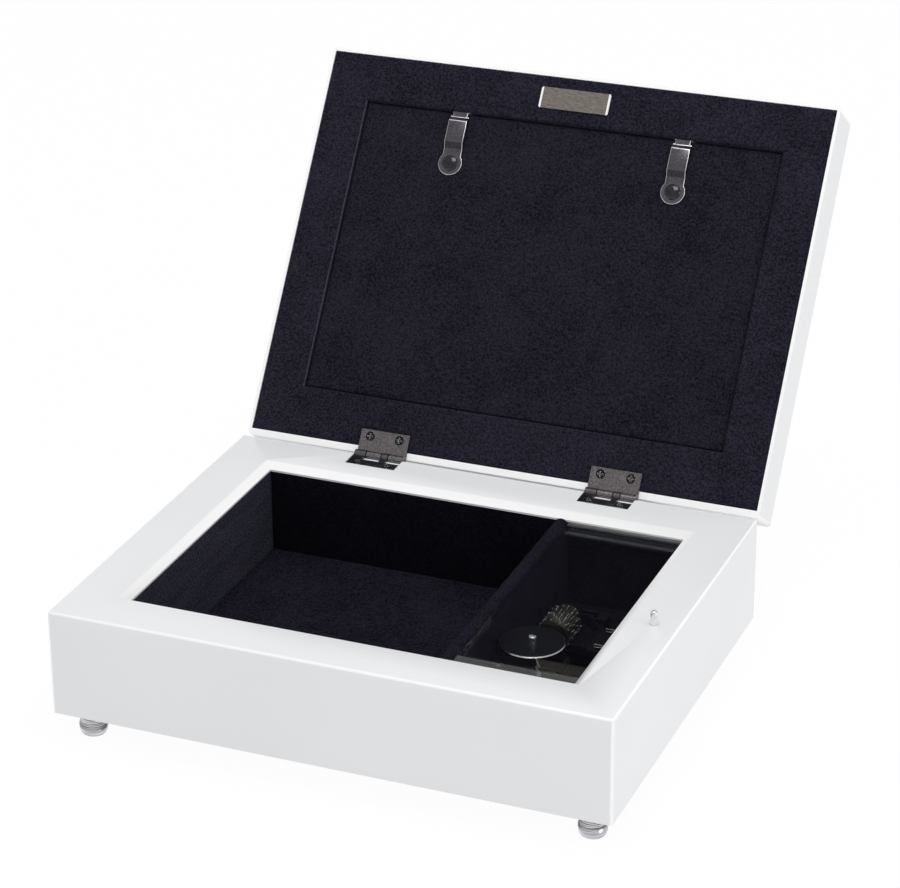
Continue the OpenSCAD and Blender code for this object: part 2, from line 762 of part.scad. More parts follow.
// Cast bedplate: a plate with posts for the spring housing, a bridge for the comb and
// two ears that the stop lever turns in
module bedplate() {
  ear_w = 2.2;
  ear_y = 9;
  color("#242428") difference() {
    union() {
      translate([bed_x, bed_y, 0]) round_block(bed_w, bed_l, 1.5, z_bed, z_bed_top);
      post_places() translate([0, 0, z_bed]) cylinder(h = z_housing - z_bed, r = post_r);
      translate([arbor_x, arbor_y, z_bed]) cylinder(h = bed_t + 2, r = arbor_r + 2);
      box(comb_root + 0.4, comb_back, comb_mid - comb_w/2, comb_mid + comb_w/2, z_bed, comb_z - comb_base_t/2);
      for (y = [-ear_y, ear_y]) {
        box(bed_x + bed_w/2 - 1, lever_x + ear_w, y - 1, y + 1, z_bed, z_bed_top);
        box(lever_x - ear_w, lever_x + ear_w, y - 1, y + 1, z_bed, lever_z + wire_r + 1.4);
      }
    }
    translate([lever_x, 0, lever_z]) rotate([90, 0, 0])
      cylinder(h = bed_l, r = wire_r + run, center = true);
    translate([arbor_x, arbor_y, z_bed - 1]) cylinder(h = bed_t + 4, r = arbor_r + run);
    post_places() translate([0, 0, z_housing - 3]) cylinder(h = 4, r = 0.6 + 0.05);
    comb_screw_places() translate([0, 0, comb_z - 5]) cylinder(h = 10, r = 0.9 + 0.05);
    movement_screw_places() translate([0, 0, z_bed - 1]) cylinder(h = 1 + movement_screw_up, r = movement_screw_r + 0.05);
    governor_screw_places() translate([0, 0, z_bed - 1]) cylinder(h = 10, r = 0.7 + 0.05);
  }
}

module movement_screws() {
  color("gray") movement_screw_places() translate([0, 0, z_wall + 2]) rotate([180, 0, 0])
    cheese_screw(movement_head_r, 1.6, movement_screw_r, z_bed + movement_screw_up - 0.2 - z_wall - 2);
}

// Stamped can, closed at the top, with three feet on the posts
module spring_housing() {
  color("#242428") difference() {
    union() {
      translate([arbor_x, arbor_y, z_housing]) cylinder(h = housing_h - 0.5, r = housing_r);
      translate([arbor_x, arbor_y, z_housing + housing_h - 0.5])
        cylinder(h = 0.5, r1 = housing_r, r2 = housing_r - 0.5);
      for (a = post_angles) translate([arbor_x, arbor_y, z_housing]) rotate(a) {
        translate([housing_r - 0.5, -1.9, 0]) cube([post_ring - housing_r + 0.5, 3.8, tab_t]);
        translate([post_ring, 0, 0]) cylinder(h = tab_t, r = 1.9);
      }
    }
    translate([arbor_x, arbor_y, z_housing - 1]) cylinder(h = housing_h + 1 - housing_wall, r = housing_r - housing_wall);
    translate([arbor_x, arbor_y, z_housing]) cylinder(h = housing_h + 1, r = arbor_r + run);
    post_places() translate([0, 0, z_housing - 1]) cylinder(h = 3, r = 0.6 + fit);
    translate([cylinder_x, arbor_y, z_axis]) rotate([-90, 0, 0]) cylinder(h = housing_r + 1, r = pivot_r + run);
  }
}

module housing_screws() {
  color("lightgray") post_places() translate([0, 0, z_housing + tab_t]) cheese_screw(1.3, 0.9, 0.6, tab_t + 2.4);
}

// Coiled strip from the arbor to the housing's wall
module mainspring() {
  turns = 5;
  strip = 0.35;
  from = arbor_r + 0.5;
  to = housing_r - housing_wall - strip - 0.4;
  steps = turns*18;
  function at(i, out) = let (a = 360*turns*i/steps, r = from + (to - from)*i/steps + out)
    [r*cos(a), r*sin(a)];
  color("steelblue") translate([arbor_x, arbor_y, z_housing + 0.7]) linear_extrude(housing_h - housing_wall - 1.1)
    polygon(concat([for (i = [0:steps]) at(i, 0)], [for (i = [steps:-1:0]) at(i, strip)]));
}

z_arbor_top = z_housing + housing_h + arbor_over;

module winding_arbor() {
  color("silver") translate([arbor_x, arbor_y, 0]) difference() {
    union() {
      translate([0, 0, z_key + 2]) cylinder(h = z_arbor_top - 0.4 - z_key - 2, r = arbor_r);
      translate([0, 0, z_arbor_top - 0.4]) cylinder(h = 0.4, r1 = arbor_r, r2 = arbor_r - 0.4);
      translate([0, 0, crown_root - great_t - 0.8]) cylinder(h = 0.8, r = arbor_r + 1);
    }
    translate([-arbor_r, -0.2, z_arbor_top - 0.4]) cube([2*arbor_r, 0.4, 1]);
  }
}

// Wheel with its teeth standing up round the rim
module great_wheel() {
  half = crown_in*tan(0.34*180/crown_teeth);                                 // half a tooth's width
  mesh_at = atan2(pinion_y + pinion_w/2 - arbor_y, cylinder_x - arbor_x);    // a gap faces the pinion
  color("#26262a") translate([arbor_x, arbor_y, 0]) difference() {
    union() {
      translate([0, 0, crown_root - great_t]) cylinder(h = great_t, r = crown_out);
      for (i = [0:crown_teeth - 1]) rotate(mesh_at + 360*(i + 0.5)/crown_teeth)
        box(crown_in, crown_out - 0.05, -half, half, crown_root - 0.01, crown_tip);
    }
    translate([0, 0, crown_root - great_t - 1]) cylinder(h = great_t + 2, r = arbor_r + 0.02);
    for (i = [0:4]) rotate(72*i) translate([7.6, 0, crown_root - great_t - 1]) cylinder(h = great_t + 2, r = 2.6);
  }
}

// Butterfly key: a hub on the arbor and two wings, each with a hole
module winding_key() {
  wing_r = key_h/2;
  color("silver") translate([arbor_x, arbor_y, 0]) difference() {
    union() {
      translate([0, 0, z_key + 1]) cylinder(h = z_wall - 0.6 - z_key - 1, r = 2.9);
      translate([0, key_t/2, z_key + wing_r]) rotate([90, 0, 0]) linear_extrude(key_t) difference() {
        union() {
          for (x = [-1, 1]) translate([x*(key_span/2 - wing_r), 0]) circle(wing_r);
          square([key_span - 2*wing_r, key_h*0.55], center = true);
        }
        for (x = [-1, 1]) translate([x*(key_span/2 - wing_r), 0]) circle(wing_r*0.45);
      }
    }
    translate([0, 0, z_key + 2]) cylinder(h = foot_h, r = arbor_r + 0.02);
  }
}

// Drawn with its axis along Z from the front end, then laid along Y
module along_cylinder(y) {
  translate([cylinder_x, y, z_axis]) rotate([-90, 0, 0]) children();
}

// Brass sleeve with the tune's pins: each track has its pins at angles of its own
module pinned_cylinder() {
  pins = 6;
  track0 = cylinder_l/2 - (notes - 1)*note_pitch/2;
  color("#8c7f5f") along_cylinder(cylinder_y) {
    difference() {
      cylinder(h = cylinder_l, r = cylinder_r);
      translate([0, 0, -1]) cylinder(h = cylinder_l + 2, r = 1 + 0.02);
    }
    for (t = [0:notes - 1], k = [0:pins - 1])
      rotate(360*k/pins + 137.5*t + 21*sin(73*t + 111*k))
        translate([cylinder_r - 0.2, 0, track0 + t*note_pitch]) rotate([0, 90, 0])
          cylinder(h = pin_h + 0.2, r1 = 0.26, r2 = 0.2, $fn = 5);
  }
}

module cylinder_arbor() {
  front = 2.9;       // reach of the front pivot, which runs in the housing's wall
  color("silver") along_cylinder(cylinder_y) {
    translate([0, 0, pinion_y - cylinder_y]) cylinder(h = gear_y + gear_w - pinion_y, r = 1);
    translate([0, 0, -front]) cylinder(h = plate_y + plate_t + 0.3 - cylinder_y + front, r = pivot_r);
  }
}

// The front pinion, turned by the crown, and the gear at the back end
module cylinder_gear() {
  color("#26262a") {
    along_cylinder(pinion_y) difference() {
      linear_extrude(pinion_w) rotate(90)
        polygon(gear_points(pinion_teeth, pinion_pitch_r - 0.75, pinion_pitch_r + 0.42, 0.42, 0.24));
      translate([0, 0, -1]) cylinder(h = 3, r = 1 + 0.02);
    }
    along_cylinder(gear_y) difference() {
      linear_extrude(gear_w) spur_gear(gear_teeth, tooth_module, -mesh_angle);
      translate([0, 0, -1]) cylinder(h = 3, r = 1 + 0.02);
    }
  }
}

module comb_screw_places() {
  for (y = [-1, 1]) translate([comb_screw_x, comb_mid + y*comb_screw_gap/2, 0]) children();
}

// Steel comb: the teeth lengthen from the treble to the bass
module comb() {
  slot_w = note_pitch - 0.5;
  color("#3c3c42") difference() {
    union() {
      box(comb_tip, comb_root + 1, comb_mid - notes*note_pitch/2 + slot_w/2, comb_mid + notes*note_pitch/2 - slot_w/2,
        comb_z - comb_t/2, comb_z + comb_t/2);
      box(comb_root, comb_back, comb_mid - comb_w/2, comb_mid + comb_w/2,
        comb_z - comb_base_t/2, comb_z + comb_base_t/2);
    }
    for (i = [1:notes - 1]) translate([0, comb_mid - notes*note_pitch/2 + i*note_pitch, 0])
      box(comb_tip - 1, comb_root - 0.1 - 0.13*(notes - i), -slot_w/2, slot_w/2, comb_z - 3, comb_z + 3);
    comb_screw_places() translate([0, 0, comb_z - 3]) cylinder(h = 6, r = 0.9 + fit);
  }
}

module comb_screws() {
  color("lightgray") comb_screw_places() translate([0, 0, comb_z + comb_base_t/2])
    cheese_screw(1.9, 1.2, 0.9, comb_base_t + 3);
}

module governor_screw_places() {
  for (x = [cylinder_x, governor_x - 1.8]) translate([x, worm_y, 0]) children();
}

// Bent bracket: a front plate for the cylinder and the governor wheel, a back plate
// with a shelf for the worm's upper end, and a foot with two screws
module governor_frame() {
  x0 = cylinder_x - 3.4;
  x1 = worm_x + 2.6;
  shelf_x = worm_x - 1.5;
  foot_t = 0.8;
  color("#3c3c42") difference() {
    union() {
      box(x0, governor_x + 2, plate_y, plate_y + plate_t, z_bed_top, z_axis + 2.2);
      box(x0, governor_x + 2, plate_y, back_plate_y + plate_t, z_bed_top, z_bed_top + foot_t);
      box(governor_x - 3.6, x1, back_plate_y, back_plate_y + plate_t, z_bed_top, z_shelf + plate_t);
      box(shelf_x, x1, worm_y - 1.6, back_plate_y + 0.01, z_shelf, z_shelf + plate_t);
      box(governor_x - 3.6, x1, worm_y - 1.2, back_plate_y + plate_t, z_bed_top, z_bed_top + foot_t);
    }
    translate([cylinder_x, plate_y - 1, z_axis]) rotate([-90, 0, 0]) cylinder(h = 3, r = pivot_r + run);
    translate([governor_x, plate_y - 1, governor_z]) rotate([-90, 0, 0])
      cylinder(h = back_plate_y + plate_t - plate_y + 2, r = pivot_r + run);
    translate([worm_x, worm_y, z_shelf - 1]) cylinder(h = 3, r = pivot_r + run);
    translate([worm_x, worm_y, z_bed_top - 1]) cylinder(h = 3, r = pivot_r + run);
    governor_screw_places() translate([0, 0, z_bed_top - 1]) cylinder(h = 3, r = 0.7 + fit);
  }
}

module governor_screws() {
  color("lightgray") governor_screw_places() translate([0, 0, z_bed_top + 0.8]) cheese_screw(1.4, 0.9, 0.7, 2.8);
}

// Pinion, arbor and wheel that drives the worm
module governor_wheel() {
  color("#26262a") translate([governor_x, 0, governor_z]) rotate([-90, 0, 0]) {
    translate([0, 0, gear_y]) linear_extrude(gear_w)
      spur_gear(governor_pinion_teeth, tooth_module, 180 - mesh_angle + 180/governor_pinion_teeth);
    translate([0, 0, gear_y - 0.2]) cylinder(h = back_plate_y + plate_t - gear_y, r = pivot_r);
    translate([0, 0, worm_y - wheel_w/2]) linear_extrude(wheel_w)
      polygon(gear_points(governor_teeth, wheel_r - 0.45, wheel_r + 0.2, 0.5, 0.24));
  }
}

// Threads of a worm: a trapezium swept up a helix round a core
module worm_threads(r, tip_r, length, lead, starts, half_low, half_high) {
  per_turn = 18;
  steps = round(length/lead*per_turn);
  ring = [[r, -half_low], [tip_r, -half_high], [tip_r, half_high], [r, half_low]];
  points = [for (i = [0:steps], p = ring) let (a = 360*i/per_turn)
    [p[0]*cos(a), p[0]*sin(a), i*lead/per_turn + p[1]]];
  faces = concat([[3, 2, 1, 0]],
    [for (i = [0:steps - 1], k = [0:3]) let (a = 4*i + k, b = 4*i + (k + 1)%4) [b, b + 4, a + 4, a]],
    [[4*steps, 4*steps + 1, 4*steps + 2, 4*steps + 3]]);
  for (s = [0:starts - 1]) rotate(360*s/starts) polyhedron(points, faces, convexity = 6);
}

// The worm, the brake disc and the fan's two blades are moulded on one steel pin
module fan_worm() {
  lead = worm_pitch*worm_starts;
  core_r = 0.85;
  turn = 180 - 360*(governor_z - z_worm - worm_pitch/2)/lead;    // a gap faces the wheel's tooth
  color("#26262a") translate([worm_x, worm_y, 0]) {
    translate([0, 0, z_bed_top + 0.1]) cylinder(h = z_shelf + plate_t + 0.3 - z_bed_top - 0.1, r = pivot_r - 0.05);
    translate([0, 0, z_fan]) cylinder(h = z_worm + worm_l - z_fan, r = core_r);
    translate([0, 0, z_brake]) cylinder(h = 0.6, r = brake_r);
    translate([-0.25, -fan_r, z_fan]) cube([0.5, 2*fan_r, fan_h + 0.2]);
    translate([0, 0, z_worm]) rotate(turn) worm_threads(core_r - 0.1, worm_r + 0.3, worm_l, lead, worm_starts, 0.34, 0.16);
  }
}

// ---- Lid, drawn closed ----

lid_profile = concat(
  [[0, 0]], edge_arc(lid_r, lid_t, 8),
  [[face_band, lid_t], [lid_rail_w - 1.5, lid_t - face_fall], [lid_rail_w, lid_t - face_fall], [lid_rail_w, 0]]);
lid_mid_y = y_back - lid_d/2;
lid_corner_r = 2;
clip_pocket_w = 28;

module suede_area(gap) {
  box(-lid_w/2 + suede_margin - gap, lid_w/2 - suede_margin + gap,
    y_back - lid_d + suede_margin - gap, y_back - suede_back + gap, z_lid - 1, z_lid + suede_t);
}

module board_area(gap, z0, z1) {
  box(-back_w/2 - gap, back_w/2 + gap, board_y - back_h/2 - gap, board_y + back_h/2 + gap, z0, z1);
}

// What is cut from every rail: the recess for the suede and the rebate for the board and glass
module lid_cuts() {
  suede_area(0.05);
  board_area(pack_fit, z_lid, z_pack);
}

module lid_rail(side) {
  translate([0, lid_mid_y, 0]) intersection() {
    mitred_rail(lid_w, lid_d, side, lid_rail_w, z_lid, lid_profile);
    round_block(lid_w, lid_d, lid_corner_r, z_lid - 1, z_lid + lid_t + 1);
  }
}

module lid_front_rail() {
  color("white") on_lid() difference() {
    lid_rail(0);
    lid_cuts();
    for (x = [-1, 1]) translate([x*clip_x, 0, 0])
      box(-clip_pocket_w/2, clip_pocket_w/2, clip_y - clip_reach - 0.6, clip_y, z_lid, z_board);
  }
}

module lid_right_rail() { color("white") on_lid() difference() { lid_rail(1); lid_cuts(); } }

module lid_left_rail() { color("white") on_lid() difference() { lid_rail(3); lid_cuts(); } }

module lid_back_rail() {
  color("white") on_lid() difference() {
    lid_rail(2);
    lid_cuts();
    box(-tongue_w/2 - pack_fit, tongue_w/2 + pack_fit, board_y, board_y + back_h/2 + tongue_l + pack_fit,
      z_card - tongue_t - fit, z_pack);
    for (x = [-1, 1]) translate([x*hinge_x, 0, 0]) {
      box(-leaf_w/2 - fit, leaf_w/2 + fit, y_back - leaf_reach - fit, y_back + 1, z_lid - 1, z_lid_leaf + leaf_t);
      hinge_barrel_space();
      leaf_screw_places() translate([0, 0, z_lid_leaf]) rotate([180, 0, 0]) screw_hole(leaf_screw_l);
    }
  }
}

module lid_suede() {
  color("#20202a") on_lid() difference() {
    intersection() {
      suede_area(0);
      box(-box_w, box_w, -box_d, box_d, z_lid, z_lid + suede_t);
    }
    board_area(0.3, z_lid - 1, z_lid + lid_t);
    for (x = [-1, 1]) {
      translate([x*hinge_x, 0, 0]) box(-leaf_w/2 - fit, leaf_w/2 + fit, y_back - leaf_reach - fit, y_back,
        z_lid - 1, z_lid + 2);
      strike_end(x, fit);
    }
  }
}

module backing_board() {
  color("#24242e") on_lid() difference() {
    union() {
      board_area(0, z_board, z_card);
      box(-tongue_w/2, tongue_w/2, board_y, board_y + back_h/2 + tongue_l, z_card - tongue_t, z_card);
    }
    clip_places() {
      cylinder(h = lid_t, r = rivet_r + 0.02);
      translate([0, 0, z_card - z_board - 0.8]) cylinder(h = lid_t, r = rivet_r + 1);
    }
  }
}

module photo_card() {
  color("#f3f0e8") on_lid() box(-card_w/2, card_w/2, board_y - card_h/2, board_y + card_h/2, z_card, z_photo_glass);
}

module photo_glass() {
  color("lightcyan", 0.3) on_lid() board_area(0, z_photo_glass, z_photo_glass + photo_glass_t);
}

// A turned-in end of the strike plate, which holds it in the suede
module strike_end(side, gap) {
  y0 = y_back - lid_d + strike_in;
  translate([side*(strike_l/2 - 0.3), 0, 0])
    box(-0.3 - gap, 0.3 + gap, y0 + 0.6 - gap, y0 + strike_w - 0.6 + gap, z_lid - 0.01, z_lid + suede_t + gap);
}

module strike_plate() {
  y0 = y_back - lid_d + strike_in;
  color("silver") on_lid() {
    translate([0, y0 + strike_w/2, z_lid - strike_t]) linear_extrude(strike_t)
      round_rect(strike_l, strike_w, 0.8);
    for (x = [-1, 1]) strike_end(x, 0);
  }
}

module clip_places() {
  for (x = [-1, 1]) translate([x*clip_x, clip_y, z_board]) children();
}

// Turn clip: a round end on the rivet, a step up to the bar and a step down to the tab
module turn_clip() {
  step0 = 6.5;
  step1 = 9;
  bar_end = 16.6;
  tab0 = 18.4;
  edge = [[3, 0], [step0, 0], [step1, clip_rise], [bar_end, clip_rise], [tab0, 0], [tab0 + 0.5, 0]];
  side = concat([for (p = edge) [p[0], p[1] + clip_seat]],
    [for (i = [len(edge) - 1:-1:0]) [edge[i][0], edge[i][1] + clip_seat + clip_t]]);
  difference() {
    union() {
      translate([0, 0, -clip_seat - clip_t]) cylinder(h = clip_t, r = clip_r);
      translate([-clip_bar_w/2, 0, 0]) rotate([180, 0, 0]) rotate([90, 0, 90]) linear_extrude(clip_bar_w)
        polygon(side);
      box(-clip_tab_w/2, clip_tab_w/2, -clip_reach, -tab0, -clip_seat - clip_t, -clip_seat);
    }
    translate([0, 0, -lid_t]) cylinder(h = 2*lid_t, r = rivet_r + 0.05);
  }
}

module turn_clip_left() { color("#4a4a52") on_lid() translate([-clip_x, clip_y, z_board]) turn_clip(); }

module turn_clip_right() { color("#4a4a52") on_lid() translate([clip_x, clip_y, z_board]) turn_clip(); }

// Rivet with a domed head over the clip and a flat tail behind the board
module clip_rivets() {
  head_h = 1.2;
  under = clip_seat + clip_t + 0.05;
  color("#33333a") on_lid() clip_places() rotate([180, 0, 0]) rotate_extrude() polygon(concat(
    [[0, -(back_t - 0.1)], [rivet_r + 0.7, -(back_t - 0.1)], [rivet_r + 0.7, -(back_t - 0.8)], [rivet_r, -(back_t - 0.8)],
     [rivet_r, under]],
    [for (i = [0:6]) let (a = 90*i/6) [rivet_head_r*cos(a), under + head_h*sin(a)]]));
}

wall_front();
wall_back();
wall_left();
wall_right();
rim_front();
rim_back();
rim_left();
rim_right();
bottom_panel();
corner_blocks();
feet();
foot_studs();
storage_floor();
storage_lining_front();
storage_lining_back();
storage_lining_left();
divider();
music_floor();
music_linings();
glass_ledges();
music_glass();
latch_magnet();
hinge_base_leaves();
hinge_base_screws();
hinge_pins();
button_pin();
button_bush();
stop_lever();
movement_block();
bedplate();
movement_screws();
spring_housing();
housing_screws();
mainspring();
winding_arbor();
great_wheel();
winding_key();
pinned_cylinder();
cylinder_arbor();
cylinder_gear();
comb();
comb_screws();
governor_frame();
governor_screws();
governor_wheel();
fan_worm();
lid_front_rail();
lid_back_rail();
lid_left_rail();
lid_right_rail();
lid_suede();
backing_board();
photo_card();
photo_glass();
strike_plate();
turn_clip_left();
turn_clip_right();
clip_rivets();
hinge_lid_leaves();
hinge_lid_screws();
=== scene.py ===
# %% [markdown]
# # A lacquered music box with a photo frame lid
# The box is a white lacquered case on four ball feet. Its lid is a picture frame seen from
# the back, lined with blue-black suede, and a glass pane covers the wind up movement.
# The measured solids of every piece are loaded first. Most are then stood for by a finer
# surface made here, which keeps its place and size, or keeps its shape and gets a finish.

# %% Load the solids
import json
import math

import bmesh
import bpy
import numpy as np
from mathutils import Matrix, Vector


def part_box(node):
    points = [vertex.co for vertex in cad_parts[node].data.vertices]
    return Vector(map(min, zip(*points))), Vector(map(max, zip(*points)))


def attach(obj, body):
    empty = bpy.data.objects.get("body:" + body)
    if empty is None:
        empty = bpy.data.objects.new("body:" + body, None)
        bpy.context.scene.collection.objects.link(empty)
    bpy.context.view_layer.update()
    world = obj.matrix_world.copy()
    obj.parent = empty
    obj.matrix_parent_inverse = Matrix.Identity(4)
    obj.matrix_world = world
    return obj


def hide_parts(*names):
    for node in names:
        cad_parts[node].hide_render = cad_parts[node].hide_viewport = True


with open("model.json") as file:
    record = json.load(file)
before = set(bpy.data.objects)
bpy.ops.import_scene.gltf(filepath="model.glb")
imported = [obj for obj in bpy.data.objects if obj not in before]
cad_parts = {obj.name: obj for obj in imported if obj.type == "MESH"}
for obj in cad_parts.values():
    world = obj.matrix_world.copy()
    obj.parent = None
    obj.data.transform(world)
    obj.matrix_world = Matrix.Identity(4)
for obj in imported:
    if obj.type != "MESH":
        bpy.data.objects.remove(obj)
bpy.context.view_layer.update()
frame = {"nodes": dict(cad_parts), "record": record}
nodes = frame["nodes"]
MM = 0.001
print(len(nodes), "solids loaded")

# %% [markdown]
# ## Colours and nodes
# Paint colours are written as sRGB hex values, as a colour picker shows them, and Blender
# works in linear light. One function turns the first into the second. A second function adds
# a shader node, sets it and wires it in one call, so that each material below reads as a recipe.

# %% Colour and node helpers
def paint(hex_value):
    """sRGB hex to linear RGBA: each channel is unpacked by the sRGB transfer curve."""
    channels = [int(hex_value[i:i + 2], 16) / 255 for i in (1, 3, 5)]
    linear = [c / 12.92 if c <= 0.04045 else ((c + 0.055) / 1.055) ** 2.4 for c in channels]
    return (*linear, 1.0)


def add(tree, kind, inputs=None, links=None, **settings):
    """Adds one node: settings are its own, inputs are plain socket values, links feed sockets."""
    node = tree.nodes.new(kind)
    for name, value in settings.items():
        setattr(node, name, value)
    for socket, value in (inputs or {}).items():
        node.inputs[socket].default_value = value
    for socket, source in (links or {}).items():
        tree.links.new(source, node.inputs[socket])
    return node


def new_material(name):
    """An empty node material with its output, the output node and a Principled shader."""
    material = bpy.data.materials.new(name)
    material.use_nodes = True
    tree = material.node_tree
    tree.nodes.clear()
    shader = add(tree, "ShaderNodeBsdfPrincipled")
    output = add(tree, "ShaderNodeOutputMaterial", links={"Surface": shader.outputs["BSDF"]})
    return material, tree, shader, output


def ramp(tree, factor, low, high, start=0.0, end=1.0):
    """A colour ramp from low to high between two factor values."""
    node = add(tree, "ShaderNodeValToRGB", links={"Fac": factor})
    node.color_ramp.elements[0].position = start
    node.color_ramp.elements[0].color = low
    node.color_ramp.elements[1].position = end
    node.color_ramp.elements[1].color = high
    return node.outputs["Color"]


# %% [markdown]
# ## White lacquer
# The case is sprayed polyurethane lacquer over wood: a hard white coat with a soft gloss.
# Sprayed lacquer is never quite flat, so a faint ripple about 6 mm long, known as
# orange peel, bends the reflections. The coat layer of the Principled shader is the gloss
# and the base below it is the plain white pigment. Edges and bevels get a whiter, glossier
# copy of the lacquer as a painted highlight, for the bright lines that light draws along them.

# %% White lacquer
def lacquer_material(name, low, high, gloss):
    material, tree, shader, _ = new_material(name)
    place = add(tree, "ShaderNodeTexCoord").outputs["Object"]
    ripple = add(tree, "ShaderNodeTexNoise", {"Scale": 160.0, "Detail": 1.0}, {"Vector": place})
    cloud = add(tree, "ShaderNodeTexNoise", {"Scale": 9.0, "Detail": 2.0}, {"Vector": place})
    colour = ramp(tree, cloud.outputs["Fac"], paint(low), paint(high), 0.35, 0.65)
    bump = add(tree, "ShaderNodeBump", {"Strength": 0.02, "Distance": 0.1 * MM},
               {"Height": ripple.outputs["Fac"]})
    tree.links.new(colour, shader.inputs["Base Color"])
    tree.links.new(bump.outputs["Normal"], shader.inputs["Normal"])
    shader.inputs["Roughness"].default_value = 0.32
    shader.inputs["Specular IOR Level"].default_value = 0.3
    shader.inputs["Coat Weight"].default_value = gloss
    shader.inputs["Coat Roughness"].default_value = 0.12
    return material


lacquer = lacquer_material("white polyurethane lacquer", "#EDEEF0", "#F0F1F2", 0.22)
# painted highlight: a whiter, glossier copy of the lacquer for edges, rounds and bevels
lacquer_painted_highlight = lacquer_material("white lacquer, whiter on the edges as a painted highlight", "#FEFEFE", "#FFFFFF", 0.8)
print("lacquer ready")

# %% [markdown]
# ## Blue-black suede
# The lining is microsuede: a felted cloth whose fibres stand up in a short nap. It looks
# nearly black, has no gloss, and shows a paler rim where the nap is seen edge on, which the
# sheen layer gives. The nap lies in small tufts, drawn here about a millimetre across so that
# they show. A fine noise makes the tufts, and a broad one the patches of nap that lean
# together. On the wall that faces the light the broad one is squeezed along Z into streaks.
# Each place gets its own copy of the suede, as painted light where the light falls on it and as painted shade
# where it does not.

# %% Suede
def suede_material(name, deep, pale, sheen, streaks=(45.0, 45.0, 45.0)):
    material, tree, shader, _ = new_material(name)
    place = add(tree, "ShaderNodeTexCoord").outputs["Object"]
    tufts = add(tree, "ShaderNodeTexNoise", {"Scale": 1100.0, "Detail": 3.0, "Roughness": 0.75},
                {"Vector": place})
    brushed = add(tree, "ShaderNodeMapping", {"Scale": streaks}, {"Vector": place})
    patches = add(tree, "ShaderNodeTexNoise", {"Scale": 1.0, "Detail": 5.0, "Roughness": 0.65},
                  {"Vector": brushed.outputs["Vector"]})
    blend = add(tree, "ShaderNodeMix", {"Factor": 0.2},
                {"A": tufts.outputs["Fac"], "B": patches.outputs["Fac"]})
    colour = ramp(tree, blend.outputs["Result"], paint(deep), paint(pale), 0.39, 0.61)
    bump = add(tree, "ShaderNodeBump", {"Strength": 0.9, "Distance": 0.5 * MM},
               {"Height": tufts.outputs["Fac"]})
    tree.links.new(colour, shader.inputs["Base Color"])
    tree.links.new(bump.outputs["Normal"], shader.inputs["Normal"])
    shader.inputs["Roughness"].default_value = 1.0
    shader.inputs["Specular IOR Level"].default_value = 0.06
    shader.inputs["Sheen Weight"].default_value = sheen
    shader.inputs["Sheen Roughness"].default_value = 0.5
    shader.inputs["Sheen Tint"].default_value = paint("#56566E")
    return material


suede = {
    "lid": suede_material("blue-black microsuede", "#0D0D15", "#2F2E3A", 0.28),
    "board": suede_material("brushed blue-black microsuede", "#0C0B13", "#2C2934", 0.26),
    # painted light: a paler copy for the wall that faces the right lamp
    "lit": suede_material("microsuede, painted light for the wall facing the lamp", "#090911", "#43424E", 0.34,
                          (30.0, 30.0, 200.0)),
    # painted shade: darker copies for the storage floor, the divider and the boards away from the light
    "floor": suede_material("microsuede, painted shade for the storage floor", "#040309", "#26232F", 0.1),
    "ridge": suede_material("microsuede, painted shade for the divider", "#07060D", "#23222D", 0.12),
    "deep": suede_material("microsuede, nap away from the light", "#07060C", "#17161F", 0.1),
    # painted highlight: a pale copy for the thin lit strip where the lining turns into the groove
    "turned": suede_material("microsuede, painted highlight on the groove's edge", "#33333F", "#50505E", 0.4),
    # painted light: a copy a little paler at its dark end, for the ledges that catch the light
    "ledge": suede_material("microsuede, a little painted light for the ledges", "#14141B", "#2E2E38", 0.2),
}
print(len(suede), "shades of suede ready")

# %% [markdown]
# ## Metals
# Every metal is the same recipe with its own numbers: a metallic base colour, a roughness
# for how it was finished, and a fine grain. Rolled and turned parts keep tool marks, so a
# stretched noise varies the roughness a little. Plated and blackened parts are smoother.

# %% Metals
def metal_material(name, colour, dark, roughness, grain=(900.0, 900.0, 900.0), spread=0.08, depth=0.01):
    material, tree, shader, _ = new_material(name)
    place = add(tree, "ShaderNodeTexCoord").outputs["Object"]
    drawn = add(tree, "ShaderNodeMapping", {"Scale": grain}, {"Vector": place})
    marks = add(tree, "ShaderNodeTexNoise", {"Scale": 1.0, "Detail": 3.0},
                {"Vector": drawn.outputs["Vector"]})
    rough = add(tree, "ShaderNodeMapRange",
                {"To Min": roughness - spread / 2, "To Max": roughness + spread},
                {"Value": marks.outputs["Fac"]})
    tint = ramp(tree, marks.outputs["Fac"], paint(dark), paint(colour), 0.3, 0.6)
    bump = add(tree, "ShaderNodeBump", {"Strength": 0.3, "Distance": depth * MM},
               {"Height": marks.outputs["Fac"]})
    tree.links.new(tint, shader.inputs["Base Color"])
    tree.links.new(rough.outputs["Result"], shader.inputs["Roughness"])
    tree.links.new(bump.outputs["Normal"], shader.inputs["Normal"])
    shader.inputs["Metallic"].default_value = 1.0
    return material


